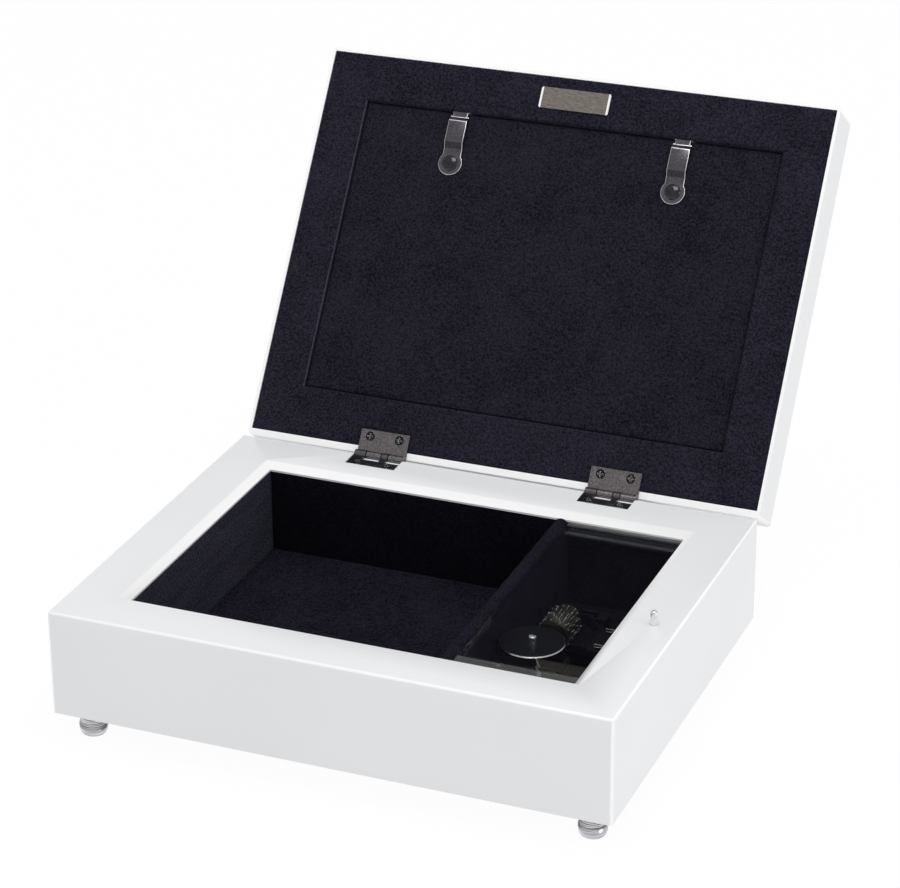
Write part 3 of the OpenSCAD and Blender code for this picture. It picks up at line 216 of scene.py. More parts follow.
metals = {
    "turned": metal_material("satin turned aluminium", "#E6E6EA", "#77777E", 0.16, (60.0, 60.0, 1900.0)),
    "gunmetal": metal_material("black nickel on steel", "#67646A", "#4C4A50", 0.28, (1500.0, 1500.0, 1500.0)),
    "blackened": metal_material("black oxide steel", "#2B2A30", "#1D1C22", 0.34),
    "steel": metal_material("bright drawn steel", "#C9C9CC", "#B4B4B8", 0.16),
    "spring": metal_material("blued spring steel", "#6B6F7C", "#4A4E5A", 0.3),
    # painted reflection: a lighter copy of the black nickel for the lid's leaves, which mirror the white
    # surroundings
    "leaf": metal_material("black nickel, lightened as a painted reflection", "#807B7E", "#5E5A59", 0.24, (1500.0, 1500.0, 1500.0)),
    # painted shade: a darker copy of the black nickel for the clips' bends
    "bend": metal_material("black nickel, painted shade where turned from the light", "#4A484D", "#38363B", 0.34),
    "black": metal_material("polished black nickel", "#45444A", "#35343A", 0.12),
    # worn edges and painted highlight: a near-white metal, whiter than bare steel, for the bevels of plated
    # parts
    "wear_and_highlight": metal_material("black nickel worn through to the steel", "#F4F3F2", "#DDDBDA", 0.22),
}


def plate_material(half_length):
    """Brushed nickel along X whose last 0.9 mm at each end is rolled over, and is white there as a painted
    highlight.
    """
    material, tree, shader, _ = new_material("brushed nickel plate with painted highlights at its ends")
    place = add(tree, "ShaderNodeTexCoord").outputs["Object"]
    drawn = add(tree, "ShaderNodeMapping", {"Scale": (500.0, 2600.0, 2600.0)}, {"Vector": place})
    marks = add(tree, "ShaderNodeTexNoise", {"Scale": 1.0, "Detail": 3.0},
                {"Vector": drawn.outputs["Vector"]})
    brushed = ramp(tree, marks.outputs["Fac"], paint("#6E6863"), paint("#948D86"), 0.3, 0.7)
    across = add(tree, "ShaderNodeSeparateXYZ", {}, {"Vector": place})
    end = add(tree, "ShaderNodeMath", {}, {0: across.outputs["X"]}, operation="ABSOLUTE")
    bright = add(tree, "ShaderNodeMapRange",
                 {"From Min": half_length - 0.95 * MM, "From Max": half_length - 0.8 * MM},
                 {"Value": end.outputs[0]})
    # painted highlight: the rolled ends are white and less metallic
    colour = add(tree, "ShaderNodeMix", {7: paint("#FFFFFF")}, {0: bright.outputs["Result"], 6: brushed},
                 data_type="RGBA")
    metal = add(tree, "ShaderNodeMapRange", {"To Min": 1.0, "To Max": 0.3},
                {"Value": bright.outputs["Result"]})
    tree.links.new(colour.outputs[2], shader.inputs["Base Color"])
    tree.links.new(metal.outputs["Result"], shader.inputs["Metallic"])
    shader.inputs["Roughness"].default_value = 0.36
    return material


strike_half_length = 15.5 * MM
brushed_plate = plate_material(strike_half_length)
print(len(metals), "metals ready")

# %% [markdown]
# ## The pinned cylinder
# The tune is on a brass sleeve with a row of steel pins for each note. Both are one solid, so
# the finish is chosen by how far a point lies from the cylinder's axis: what stands out beyond
# the sleeve is a steel pin, near white and only a quarter metallic as a painted glint, and the sleeve between
# them is dull brass.

# %% Brass sleeve with steel pins
def sleeve_material(axis_x, axis_z, sleeve_radius):
    """The distance from the axis is the length of the point's offset in X and Z alone."""
    material, tree, shader, _ = new_material("dull brass sleeve with steel pins painted white as glints")
    place = add(tree, "ShaderNodeTexCoord").outputs["Object"]
    offset = add(tree, "ShaderNodeVectorMath", {1: (axis_x, 0.0, axis_z)}, {0: place}, operation="SUBTRACT")
    across = add(tree, "ShaderNodeVectorMath", {1: (1.0, 0.0, 1.0)}, {0: offset.outputs["Vector"]},
                 operation="MULTIPLY")
    distance = add(tree, "ShaderNodeVectorMath", {}, {0: across.outputs["Vector"]}, operation="LENGTH")
    pin = add(tree, "ShaderNodeMapRange",
              {"From Min": sleeve_radius + 0.3 * MM, "From Max": sleeve_radius + 0.4 * MM},
              {"Value": distance.outputs["Value"]})
    # painted highlight: pins near white and only partly metallic, so that they show as glints
    colour = ramp(tree, pin.outputs["Result"], paint("#5C5A50"), paint("#FCFCFA"))
    rough = add(tree, "ShaderNodeMapRange", {"To Min": 0.34, "To Max": 0.2}, {"Value": pin.outputs["Result"]})
    tree.links.new(colour, shader.inputs["Base Color"])
    tree.links.new(rough.outputs["Result"], shader.inputs["Roughness"])
    metal = add(tree, "ShaderNodeMapRange", {"To Min": 1.0, "To Max": 0.25}, {"Value": pin.outputs["Result"]})
    tree.links.new(metal.outputs["Result"], shader.inputs["Metallic"])
    return material


cylinder_x, cylinder_z, sleeve_radius = 59.8 * MM, 37.0 * MM, 6.4 * MM
pinned_brass = sleeve_material(cylinder_x, cylinder_z, sleeve_radius)
print("pinned brass ready")

# %% [markdown]
# ## Plastics, paint, card, ferrite and bare wood
# These show little, under the glass, inside or below the case, but each is what it is:
# moulded nylon for the gears, black enamel on the cast bedplate and the spring's cover, poplar
# plywood for the bottom, and a plain white card where a picture goes.

# %% Moulded nylon, enamel and matte pieces
def moulded_material(name, colour, roughness, depth=0.03, gloss=0.5):
    material, tree, shader, _ = new_material(name)
    place = add(tree, "ShaderNodeTexCoord").outputs["Object"]
    skin = add(tree, "ShaderNodeTexNoise", {"Scale": 2500.0, "Detail": 2.0}, {"Vector": place})
    rough = add(tree, "ShaderNodeMapRange", {"To Min": roughness - 0.06, "To Max": roughness + 0.06},
                {"Value": skin.outputs["Fac"]})
    bump = add(tree, "ShaderNodeBump", {"Strength": 0.25, "Distance": depth * MM},
               {"Height": skin.outputs["Fac"]})
    tree.links.new(rough.outputs["Result"], shader.inputs["Roughness"])
    tree.links.new(bump.outputs["Normal"], shader.inputs["Normal"])
    shader.inputs["Base Color"].default_value = paint(colour)
    shader.inputs["Specular IOR Level"].default_value = gloss
    return material


black_nylon = moulded_material("moulded black nylon", "#141416", 0.4)
black_enamel = moulded_material("black enamel on cast zinc", "#0E0E12", 0.3, 0.05, 0.22)
ferrite = moulded_material("sintered ferrite", "#2A2A2B", 0.7, 0.08)
white_card = moulded_material("uncoated white card", "#F1EEE6", 0.9)
stained_wood = moulded_material("wood stained black", "#17161A", 0.7)


def plywood_material():
    """Grain as bands of a distorted wave along X, with finer fibres across it."""
    material, tree, shader, _ = new_material("poplar plywood")
    place = add(tree, "ShaderNodeTexCoord").outputs["Object"]
    along = add(tree, "ShaderNodeMapping", {"Scale": (6.0, 90.0, 90.0)}, {"Vector": place})
    figure = add(tree, "ShaderNodeTexNoise", {"Scale": 1.0, "Detail": 5.0, "Distortion": 1.5},
                 {"Vector": along.outputs["Vector"]})
    fibre = add(tree, "ShaderNodeMapping", {"Scale": (60.0, 1800.0, 1800.0)}, {"Vector": place})
    fine = add(tree, "ShaderNodeTexNoise", {"Scale": 1.0, "Detail": 2.0}, {"Vector": fibre.outputs["Vector"]})
    blend = add(tree, "ShaderNodeMix", {"Factor": 0.35},
                {"A": figure.outputs["Fac"], "B": fine.outputs["Fac"]})
    colour = ramp(tree, blend.outputs["Result"], paint("#B3AB9C"), paint("#D2CBBE"), 0.35, 0.65)
    bump = add(tree, "ShaderNodeBump", {"Strength": 0.3, "Distance": 0.1 * MM},
               {"Height": fine.outputs["Fac"]})
    tree.links.new(colour, shader.inputs["Base Color"])
    tree.links.new(bump.outputs["Normal"], shader.inputs["Normal"])
    shader.inputs["Roughness"].default_value = 0.65
    return material


plywood = plywood_material()

# %% [markdown]
# ## Window glass
# A flat pane does two things: it mirrors a little, more at a glancing angle, and lets the
# rest straight through. Mixing a clear and a mirror shader by Fresnel gives just that, and
# lamps shine through the clear part, so the movement below stays lit.

# %% Glass
def glass_material():
    material, tree, shader, output = new_material("clear float glass")
    tree.nodes.remove(shader)
    clear = add(tree, "ShaderNodeBsdfTransparent", {"Color": paint("#F8FAF9")})
    mirror = add(tree, "ShaderNodeBsdfGlossy", {"Color": paint("#FFFFFF"), "Roughness": 0.02})
    inside = add(tree, "ShaderNodeNewGeometry").outputs["Backfacing"]
    index = add(tree, "ShaderNodeMapRange", {"To Min": 1.5, "To Max": 1 / 1.5}, {"Value": inside})
    angle = add(tree, "ShaderNodeFresnel", links={"IOR": index.outputs["Result"]})
    pane = add(tree, "ShaderNodeMixShader", {}, {0: angle.outputs["Fac"], 1: clear.outputs["BSDF"],
                                               2: mirror.outputs["BSDF"]})
    tree.links.new(pane.outputs["Shader"], output.inputs["Surface"])
    return material


glass = glass_material()
print("glass ready")

# %% [markdown]
# ## A finish for every solid
# The pieces that stay hidden inside or below keep their solids, and only get their material.
# The others get it too, in case a viewer shows them before their finer surface is in place.

# %% Give every solid its finish
finishes = {
    "wall_front wall_back wall_left wall_right rim_front rim_back rim_left rim_right": lacquer,
    "lid_front_rail lid_back_rail lid_left_rail lid_right_rail": lacquer,
    "bottom_panel corner_blocks": plywood,
    "movement_block": stained_wood,
    "feet": metals["turned"],
    "foot_studs stop_lever movement_screws": metals["steel"],
    "winding_key cylinder_arbor": metals["steel"],
    # painted highlight: the winding arbor and the button pin take the near-white metal for their glints
    "winding_arbor button_pin": metals["wear_and_highlight"],
    "mainspring": metals["spring"],
    "strike_plate": brushed_plate,
    "hinge_base_leaves hinge_pins turn_clip_left turn_clip_right": metals["gunmetal"],
    # painted reflection: the lid's leaves take the lighter copy of the base leaves' black nickel
    "hinge_lid_leaves": metals["leaf"],
    "hinge_base_screws hinge_lid_screws comb_screws housing_screws governor_screws": metals["blackened"],
    "clip_rivets": metals["black"],
    "comb governor_frame": metals["blackened"],
    "bedplate spring_housing": black_enamel,
    "pinned_cylinder": pinned_brass,
    "great_wheel cylinder_gear governor_wheel fan_worm button_bush": black_nylon,
    "latch_magnet": ferrite,
    "photo_card": white_card,
    "music_glass photo_glass": glass,
    # each lining takes the painted light or painted shade copy for how the light falls on it
    "storage_lining_front storage_lining_back": suede["deep"],
    "storage_floor": suede["floor"],
    "storage_lining_left": suede["lit"],
    "lid_suede": suede["lid"],
    "divider": suede["ridge"],
    "music_floor music_linings": suede["deep"],
    "glass_ledges": suede["ledge"],
    "backing_board": suede["board"],
}
finish_of = {name: material for names, material in finishes.items() for name in names.split()}
for name, material in finish_of.items():
    nodes[name].data.materials.clear()
    nodes[name].data.materials.append(material)
body_of = {node: body for body, names in frame["record"]["behaviour"]["bodies"].items() for node in names}
print("solids without a finish:", sorted(set(nodes) - set(finish_of)))

# %% [markdown]
# ## Putting a piece in place
# Whatever way a piece was shaped, it ends the same: its mesh goes into an object that stays
# at the origin, it rides on the body that its solid rides on, and it stands for that solid.
# Shading is smooth everywhere except over edges sharper than a set angle, so that a turned
# part looks round and a cut edge stays crisp.

# %% Settle a mesh as a piece
def settle(mesh, name, stands_for, material=None, sharp=32.0):
    """Links the mesh as a piece that stands for the named solids and takes their body and slot."""
    piece = bpy.data.objects.new(name, mesh)
    bpy.context.scene.collection.objects.link(piece)
    mesh.materials.clear()
    mesh.materials.append(material or finish_of[stands_for[0]])
    mesh.polygons.foreach_set("use_smooth", np.ones(len(mesh.polygons), bool))
    mesh.set_sharp_from_angle(angle=math.radians(sharp))
    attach(piece, body_of[stands_for[0]])
    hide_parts(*stands_for)
    return piece


# %% [markdown]
# ## The hinge axis
# The solids come with the lid open, so anything on the lid is easiest to shape as it lies when
# closed, and is then swung open about the hinge axis. Some edges of the hinge leaves and the
# clips are set a little further along than in the solids, where the formed sheet really ends.

# %% Swing and shape
lid_angle = math.radians(124.7)
hinge_y, hinge_z = 88.4 * MM, 55.2 * MM
lid_middle_y = 0.5 * MM
lid_face = 57.0 * MM        # underside of the closed lid
clip_x = 50.0 * MM          # a clip's distance from the middle of the lid


def swung(points, angle):
    """Points turned about the hinge axis, which runs along X."""
    points = np.array(points, float)
    y, z = points[..., 1] - hinge_y, points[..., 2] - hinge_z
    out = points.copy()
    out[..., 1] = hinge_y + y * math.cos(angle) - z * math.sin(angle)
    out[..., 2] = hinge_z + y * math.sin(angle) + z * math.cos(angle)
    return out


def stretched(mesh, opened, start, end, shift):
    """The same mesh with its points between two places along Y moved, as seen with the lid closed."""
    points = np.empty(3 * len(mesh.vertices))
    mesh.vertices.foreach_get("co", points)
    points = swung(points.reshape(-1, 3), opened)
    points[:, 1] += np.where((points[:, 1] > start) & (points[:, 1] < end), shift, 0.0)
    mesh.vertices.foreach_set("co", swung(points, -opened).ravel())
    mesh.update()
    return mesh


# %% [markdown]
# ## Rigid pieces with soft edges
# A sheared or cast part never has a perfectly sharp edge: its rim catches the light as a thin
# bright line. The solids come in as loose triangles, so a copy is merged, its flat faces are
# joined, and a Bevel modifier rounds what is left of the sharp edges.

# %% Copy, merge and round
def merged_copy(stands_for, drop=None):
    """One mesh from the named solids: points nearer than 2 micrometres become one, faces that
    drop picks are removed, and triangles that lie in one plane are joined."""
    shape = bmesh.new()
    for node in stands_for:
        shape.from_mesh(nodes[node].data)
    bmesh.ops.remove_doubles(shape, verts=shape.verts, dist=0.002 * MM)
    if drop:
        extra = [face for face in shape.faces if drop(face.calc_center_median(), face.normal)]
        bmesh.ops.delete(shape, geom=extra, context="FACES")
    bmesh.ops.dissolve_limit(shape, angle_limit=math.radians(0.4), verts=shape.verts, edges=shape.edges)
    mesh = bpy.data.meshes.new(stands_for[0])
    shape.to_mesh(mesh)
    shape.free()
    return mesh


def rounded(piece, width, wear_and_highlight=None, segments=2, angle=35.0):
    """Rounds every edge sharper than the angle by the width, its bevel in the given edge finish if there is
    one: worn metal whitened as a painted highlight.
    """
    bevel = piece.modifiers.new("soft edges", "BEVEL")
    if wear_and_highlight:
        piece.data.materials.append(wear_and_highlight)
        bevel.material = 1
    bevel.width, bevel.segments = width, segments
    bevel.limit_method, bevel.angle_limit = "ANGLE", math.radians(angle)
    bevel.harden_normals = True
    return piece


soft_edges = {
    "hinge_base_leaves": 0.2, "hinge_lid_leaves": 0.2, "hinge_pins": 0.1, "hinge_base_screws": 0.07,
    "hinge_lid_screws": 0.07, "turn_clip_left": 0.24, "turn_clip_right": 0.24, "clip_rivets": 0.15,
    "strike_plate": 0.15, "winding_key": 0.3, "winding_arbor": 0.1, "spring_housing": 0.25,
    "housing_screws": 0.12, "comb": 0.08, "comb_screws": 0.15, "bedplate": 0.3, "governor_frame": 0.12,
    "governor_screws": 0.1, "movement_screws": 0.12, "great_wheel": 0.0, "cylinder_gear": 0.0,
    "governor_wheel": 0.0, "fan_worm": 0.0, "pinned_cylinder": 0.0, "cylinder_arbor": 0.0,
    "stop_lever": 0.0, "button_pin": 0.0, "button_bush": 0.1,
}


def refinish(piece, material, opened, chosen):
    """Gives a further material to the faces that chosen picks by centre and direction, lid closed."""
    faces = piece.data.polygons
    centres, normals = np.empty(3 * len(faces)), np.empty(3 * len(faces))
    faces.foreach_get("center", centres)
    faces.foreach_get("normal", normals)
    centres, normals = centres.reshape(-1, 3), normals.reshape(-1, 3)
    turned = swung(centres + normals, opened) - swung(centres, opened)
    index = np.zeros(len(faces), np.int32)
    faces.foreach_get("material_index", index)
    index[chosen(swung(centres, opened), turned)] = len(piece.data.materials)
    piece.data.materials.append(material)
    faces.foreach_set("material_index", index)
    return piece


def sloped(centres, normals):
    """Faces that look along no axis: rounds, bevels and bends."""
    return np.abs(normals).max(axis=1) < 0.985


# these parts take the near-white metal on their bevels: real wear, whitened further as a painted highlight
wear_and_highlight_nodes = ("hinge_base_leaves hinge_lid_leaves hinge_base_screws hinge_lid_screws hinge_pins "
              "turn_clip_left turn_clip_right strike_plate comb_screws housing_screws "
              "governor_screws clip_rivets").split()
slot_bottom = (84.4 * MM, 84.6 * MM)     # where the slots between a leaf's knuckles end
bar_bend = (-61.5 * MM, -58.0 * MM)      # where a clip's bar steps down to its tab
moves = {"hinge_base_leaves": (0.0, *slot_bottom, -1.5 * MM),
         "hinge_lid_leaves": (lid_angle, *slot_bottom, 1.6 * MM),
         "turn_clip_left": (lid_angle, *bar_bend, -2.0 * MM),
         "turn_clip_right": (lid_angle, *bar_bend, -2.0 * MM)}
for node, width in soft_edges.items():
    mesh = merged_copy([node])
    if node in moves:
        mesh = stretched(mesh, *moves[node])
    piece = settle(mesh, "soft_" + node, [node], sharp=20.0 if "clip" in node else 32.0)
    if width:
        rounded(piece, width * MM, metals["wear_and_highlight"] if node in wear_and_highlight_nodes else None)
    # painted shade on the clip's bend faces, which slope away from the light
    if node.startswith("turn_clip"):
        refinish(piece, metals["bend"], lid_angle,
                 lambda centres, normals: (np.abs(normals[:, 1]) > 0.2) & (np.abs(normals[:, 2]) > 0.4))
print(len(soft_edges), "rigid pieces rounded")

# %% [markdown]
# ## The lacquered case and lid
# The four rails of a frame are glued at their mitres and sprayed as one, so no joint shows.
# Here the four solids are merged and the faces where they meet, which lie in the diagonal
# planes of the frame, are taken out, which leaves one closed skin.

# %% The diagonal planes
def mitre_test(width, depth, middle_y=0.0, swing=0.0):
    """A test for faces in a frame's diagonal planes: a point there is as far inside the side
    as inside the end, and the face looks along X and Y alike. swing undoes the lid's opening."""
    def in_mitre(centre, normal):
        x, y, _ = swung(centre, swing)
        turned = swung(np.array(centre) + np.array(normal), swing) - swung(centre, swing)
        level = abs((abs(x) - width / 2) - (abs(y - middle_y) - depth / 2)) < 0.01 * MM
        return level and abs(turned[2]) < 0.01 and abs(abs(turned[0]) - abs(turned[1])) < 0.01
    return in_mitre


case_w, case_d = 229.0 * MM, 175.0 * MM
lid_w, lid_d = 228.0 * MM, 174.0 * MM
case_test = mitre_test(case_w, case_d)
rails = ["rim_front", "rim_back", "rim_left", "rim_right"]
walls = ["wall_front", "wall_back", "wall_left", "wall_right"]
lid_rails = ["lid_front_rail", "lid_back_rail", "lid_left_rail", "lid_right_rail"]
rim = settle(merged_copy(rails, case_test), "rim", rails)
# painted highlight: the sloped faces of the case, its rounds and bevels, take the whiter lacquer
refinish(rim, lacquer_painted_highlight, 0.0, sloped)
case_walls = settle(merged_copy(walls, case_test), "case_walls", walls)
refinish(case_walls, lacquer_painted_highlight, 0.0, sloped)
lid_test = mitre_test(lid_w, lid_d, lid_middle_y, lid_angle)
lid_frame = settle(merged_copy(lid_rails, lid_test), "lid_frame", lid_rails)
# painted highlight also on the lid's thin lip, which faces down when the lid is closed
refinish(lid_frame, lacquer_painted_highlight, lid_angle, lambda centres, normals:
         sloped(centres, normals) | ((normals[:, 2] < -0.9) & (np.abs(centres[:, 2] - lid_face) < 0.1 * MM)))
print("case and lid skins joined")

# %% [markdown]
# ## Grids of points
# The pieces below are surfaces over a grid: a formula gives the place of each point from its
# row and column, all at once, and the same few lines join neighbours into four-sided faces.
# A closed surface must face outwards. Its signed volume, the sum of the small pyramids from
# the origin to each face, tells if it is inside out, and then its faces are turned over.

# %% Grid faces and closed meshes
def grid_faces(rows, columns, ring_rows=False, ring_columns=False):
    """Faces of a grid: each joins point (r, c) to (r, c+1), (r+1, c+1) and (r+1, c)."""
    r, c = np.meshgrid(np.arange(rows if ring_rows else rows - 1),
                       np.arange(columns if ring_columns else columns - 1), indexing="ij")
    r, c = r.ravel(), c.ravel()
    r1, c1 = (r + 1) % rows, (c + 1) % columns
    return np.stack([r * columns + c, r * columns + c1, r1 * columns + c1, r1 * columns + c], -1)


def closed_mesh(name, shells):
    """One mesh from closed shells of (points, faces): each is turned outwards and its doubles merged."""
    shape = bmesh.new()
    for points, faces in shells:
        a, b, c, d = (points[faces[:, k]] for k in range(4))
        volume = np.einsum("ij,ij->i", a, np.cross(b, c) + np.cross(c, d)).sum()
        shell = bpy.data.meshes.new("shell")
        shell.from_pydata(points.tolist(), [], (faces if volume > 0 else faces[:, ::-1]).tolist())
        shape.from_mesh(shell)
        bpy.data.meshes.remove(shell)
    bmesh.ops.remove_doubles(shape, verts=shape.verts, dist=0.001 * MM)
    bmesh.ops.dissolve_degenerate(shape, edges=shape.edges, dist=0.0005 * MM)
    mesh = bpy.data.meshes.new(name)
    shape.to_mesh(mesh)
    shape.free()
    return mesh


def turned_part(profile, centre, segments=96):
    """A profile of (radius, height) rows spun about a vertical line through centre."""
    angle = 2 * np.pi * np.arange(segments) / segments
    radius, height = np.array(profile, float).T
    points = np.stack([centre[0] + np.outer(radius, np.cos(angle)),
                       centre[1] + np.outer(radius, np.sin(angle)),
                       centre[2] + np.repeat(height[:, None], segments, 1)], -1).reshape(-1, 3)
    return points, grid_faces(len(profile), segments, ring_columns=True)


# %% [markdown]
# ## Ball feet
# Each foot is turned from aluminium on a lathe: a ball with a short neck and a collar under
# the case. The tool leaves rings, which here are real ridges that rise and fall by 0.09 mm, so
# that they break up the highlight.

# %% Turn the feet
ball_radius, ball_middle, ridge_height, ball_rows = 5.7, 3.5, 0.09, 60
ball_low, ball_high = -math.asin(ball_middle / ball_radius), math.radians(62.0)
turn = np.linspace(ball_low, ball_high, ball_rows)
ridge = ridge_height * np.cos(np.arange(ball_rows) * np.pi / 2)
ridged = ball_radius - ridge_height + ridge
ball = np.stack([ridged * np.cos(turn), ball_middle + ridged * np.sin(turn)], -1)
ball[:, 1] = np.maximum(ball[:, 1], 0.0)
foot_profile = np.concatenate([
    [(0.0, 0.0), (ball_radius * math.cos(ball_low) - 0.5, 0.0)], ball[1:],
    [(2.62, 9.0), (2.62, 10.0), (2.8, 10.4), (3.3, 10.7), (3.55, 11.0), (3.6, 11.3),
     (3.6, 11.95), (3.5, 12.0), (0.0, 12.0)]]) * MM
foot_x, foot_y = 103.2 * MM, 76.2 * MM
feet = [turned_part(foot_profile, (x, y, 0.0)) for x in (-foot_x, foot_x) for y in (-foot_y, foot_y)]
settle(closed_mesh("turned feet", feet), "ball_feet", ["feet"], sharp=50.0)
print("feet turned,", len(foot_profile), "rows each")

# %% [markdown]
# ## The spring housing's cover
# The cover is pressed and turned: a flat black disc with a narrow chamfer, cut after
# the enamel, round its edge; the chamfer's near-white metal is bare steel whitened as a painted highlight.
# Both are rings spun about the winding arbor, a hair over the solid, so that the edge is truly round.

# %% Turn the cover
cover_centre = (57.0 * MM, -17.4 * MM, 0.0)
cover_low, cover_high = (corner[2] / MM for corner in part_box("spring_housing"))
cover_r, cover_segments = 12.9, 128
skin = [(1.75, cover_high - 0.3), (1.75, cover_high + 0.01), (cover_r - 0.5, cover_high + 0.01),
        (cover_r + 0.02, cover_high - 0.5), (cover_r + 0.02, cover_low + 0.02),
        (cover_r - 0.3, cover_low + 0.02), (cover_r - 0.6, cover_high - 0.9)]
edge = [(cover_r - 0.4, cover_high - 0.15), (cover_r - 0.33, cover_high - 0.14),
        (cover_r + 0.03, cover_high - 0.5), (cover_r + 0.03, cover_high - 0.62),
        (cover_r - 0.3, cover_high - 0.6)]
for name, profile, finish in (("cover_disc", skin, black_enamel), ("cover_edge", edge, metals["wear_and_highlight"])):
    points = turned_part(np.array(profile) * MM, cover_centre, cover_segments)[0]
    ring = (points, grid_faces(len(profile), cover_segments, True, True))
    settle(closed_mesh(name, [ring]), name, ["spring_housing"], finish, sharp=25.0)
print("cover turned")

# %% [markdown]
# ## Boards covered with suede
# The linings are card and thin board with suede glued round them, so their edges are soft and
# their faces not quite flat. A covered board is a box whose grid is pulled in and pushed out
# again: each point of the box goes back inside by the edge radius and then out by the same
# radius, along the line between the two. Flat faces stay where they were, edges become
# quarter rounds and corners eighths of a ball. A sum of slow sines then lets the cloth wander
# by less than a tenth of a millimetre.

# %% Covered boards
def wander(points, amount):
    """A slow ripple along X, Y and Z, from sines with wavelengths of 12 to 23 mm."""
    x, y, z = (points[:, k] / MM for k in range(3))
    return amount * (np.sin(x / 2.2 + 1.3 * np.sin(y / 3.6)) * np.sin(y / 1.9 + z / 3.1) +
                     np.sin(x / 3.6 + z / 2.3 + 2.0)) / 2


def covered_board(low, high, radius=0.7 * MM, step=3.0 * MM, loose=0.06 * MM):
    """The rounded box described above, between two corners, as (points, faces)."""
    low, high = np.array(low, float), np.array(high, float)
    radius = min(radius, 0.45 * float((high - low).min()))
    bend = radius * (1 - np.tan(np.radians([45.0, 30.0, 15.0])))
    lines = [np.concatenate([a + bend, np.linspace(a + radius, b - radius, max(2, int((b - a) / step))),
                             (b - bend)[::-1]]) for a, b in zip(low, high)]
    points, faces, count = [], [], 0
    for axis in range(3):
        u, v = (axis + 1) % 3, (axis + 2) % 3
        grid_u, grid_v = np.meshgrid(lines[u], lines[v], indexing="ij")
        for level, quads in ((low[axis], 1), (high[axis], -1)):
            face = np.empty(grid_u.shape + (3,))
            face[..., u], face[..., v], face[..., axis] = grid_u, grid_v, level
            points.append(face.reshape(-1, 3))
            faces.append(grid_faces(*grid_u.shape)[:, ::quads] + count)
            count += grid_u.size
    points, faces = np.concatenate(points), np.concatenate(faces)
    core = np.clip(points, low + radius, high - radius)
    out = (points - core) / np.linalg.norm(points - core, axis=1, keepdims=True)
    return core + out * (radius - loose + wander(core, loose))[:, None], faces


for node in ("storage_floor", "storage_lining_left", "storage_lining_front", "storage_lining_back"):
    settle(closed_mesh(node, [covered_board(*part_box(node))]), "suede_" + node, [node], sharp=60.0)
print("storage compartment lined")

# %% [markdown]
# ## The divider
# The divider is a thin board with suede pulled over its top, which leaves a round soft ridge.
# Its outline, a slab with a half circle on top, is carried along the depth of the box, and
# swells a little on the way as the cloth does.

# %% Divider
divider_low, divider_high = (np.array(corner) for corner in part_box("divider"))
half_t = (divider_high[0] - divider_low[0]) / 2
middle_x = (divider_high[0] + divider_low[0]) / 2
arc = np.linspace(0, np.pi, 17)
slab_rows = 14
slab = np.linspace(divider_low[2], divider_high[2] - half_t, slab_rows)
outline = np.concatenate([
    np.stack([np.full(slab_rows, half_t), slab], -1),
    np.stack([half_t * np.cos(arc), divider_high[2] - half_t + half_t * np.sin(arc)], -1)[1:-1],
    np.stack([np.full(slab_rows, -half_t), slab[::-1]], -1),
    np.stack([np.linspace(-half_t, half_t, 6)[1:-1], np.full(4, divider_low[2])], -1)])
along = np.linspace(divider_low[1], divider_high[1], 90)
swell_share = 0.012
swell = 1 - swell_share - swell_share * np.sin(along / MM / 2.6) * np.sin(along / MM / 1.1 + 1.0)
rows = np.concatenate([along[:1], along, along[-1:]])
size = np.concatenate([[0.0], swell, [0.0]])
centre_z = (divider_low[2] + divider_high[2]) / 2
ridge_points = np.stack([middle_x + size[:, None] * outline[None, :, 0],
                         np.repeat(rows[:, None], len(outline), 1),
                         centre_z + size[:, None] * (outline[None, :, 1] - centre_z)], -1).reshape(-1, 3)
divider_shell = (ridge_points, grid_faces(len(rows), len(outline), ring_columns=True))
settle(closed_mesh("divider", [divider_shell]), "suede_divider", ["divider"], sharp=60.0)
print("divider covered")

# %% [markdown]
# ## The music compartment
# Its front, back and right boards are covered like the others. The right one has a slot that
# the stop lever passes, so it is built from four boards round that slot. Two narrow ledges
# carry the glass.

# %% Music compartment boards
music_low, music_high = (np.array(corner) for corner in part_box("music_linings"))
board_t = 3.0 * MM
well_right = music_high[0] - board_t
slot_front, slot_back = -14.0 * MM, -12.2 * MM
slot_low, slot_high = 20.45 * MM, 28.75 * MM
end_boards = [covered_board((music_low[0], y, music_low[2]), (well_right, y + board_t, music_high[2]))
              for y in (music_low[1], music_high[1] - board_t)]
side_parts = [((music_low[1], music_low[2]), (slot_front, music_high[2])),
              ((slot_back, music_low[2]), (music_high[1], music_high[2])),
              ((slot_front, music_low[2]), (slot_back, slot_low)),
              ((slot_front, slot_high), (slot_back, music_high[2]))]
side_boards = [covered_board((well_right, *a), (music_high[0], *b), radius=0.3 * MM) for a, b in side_parts]
settle(closed_mesh("music linings", end_boards + side_boards), "suede_music_linings", ["music_linings"],
       sharp=60.0)
ledge_low, ledge_high = (np.array(corner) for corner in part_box("glass_ledges"))
ledge_w = 3.4 * MM
ledges = [covered_board((ledge_low[0], y, ledge_low[2]), (ledge_high[0], y + ledge_w, ledge_high[2]))
          for y in (ledge_low[1], ledge_high[1] - ledge_w)]
settle(closed_mesh("ledges", ledges), "suede_glass_ledges", ["glass_ledges"], sharp=60.0)
print("music compartment lined")

# %% [markdown]
# ## The floor under the movement
# The bedplate stands through an opening in this floor, so the cloth is a flat frame: a strip
# carried round the rectangle between an outer and an inner outline. At every step round the
# rectangle one point lies on each outline, and the strip's cross section runs from one to the
# other. The same function makes the lid's lining.

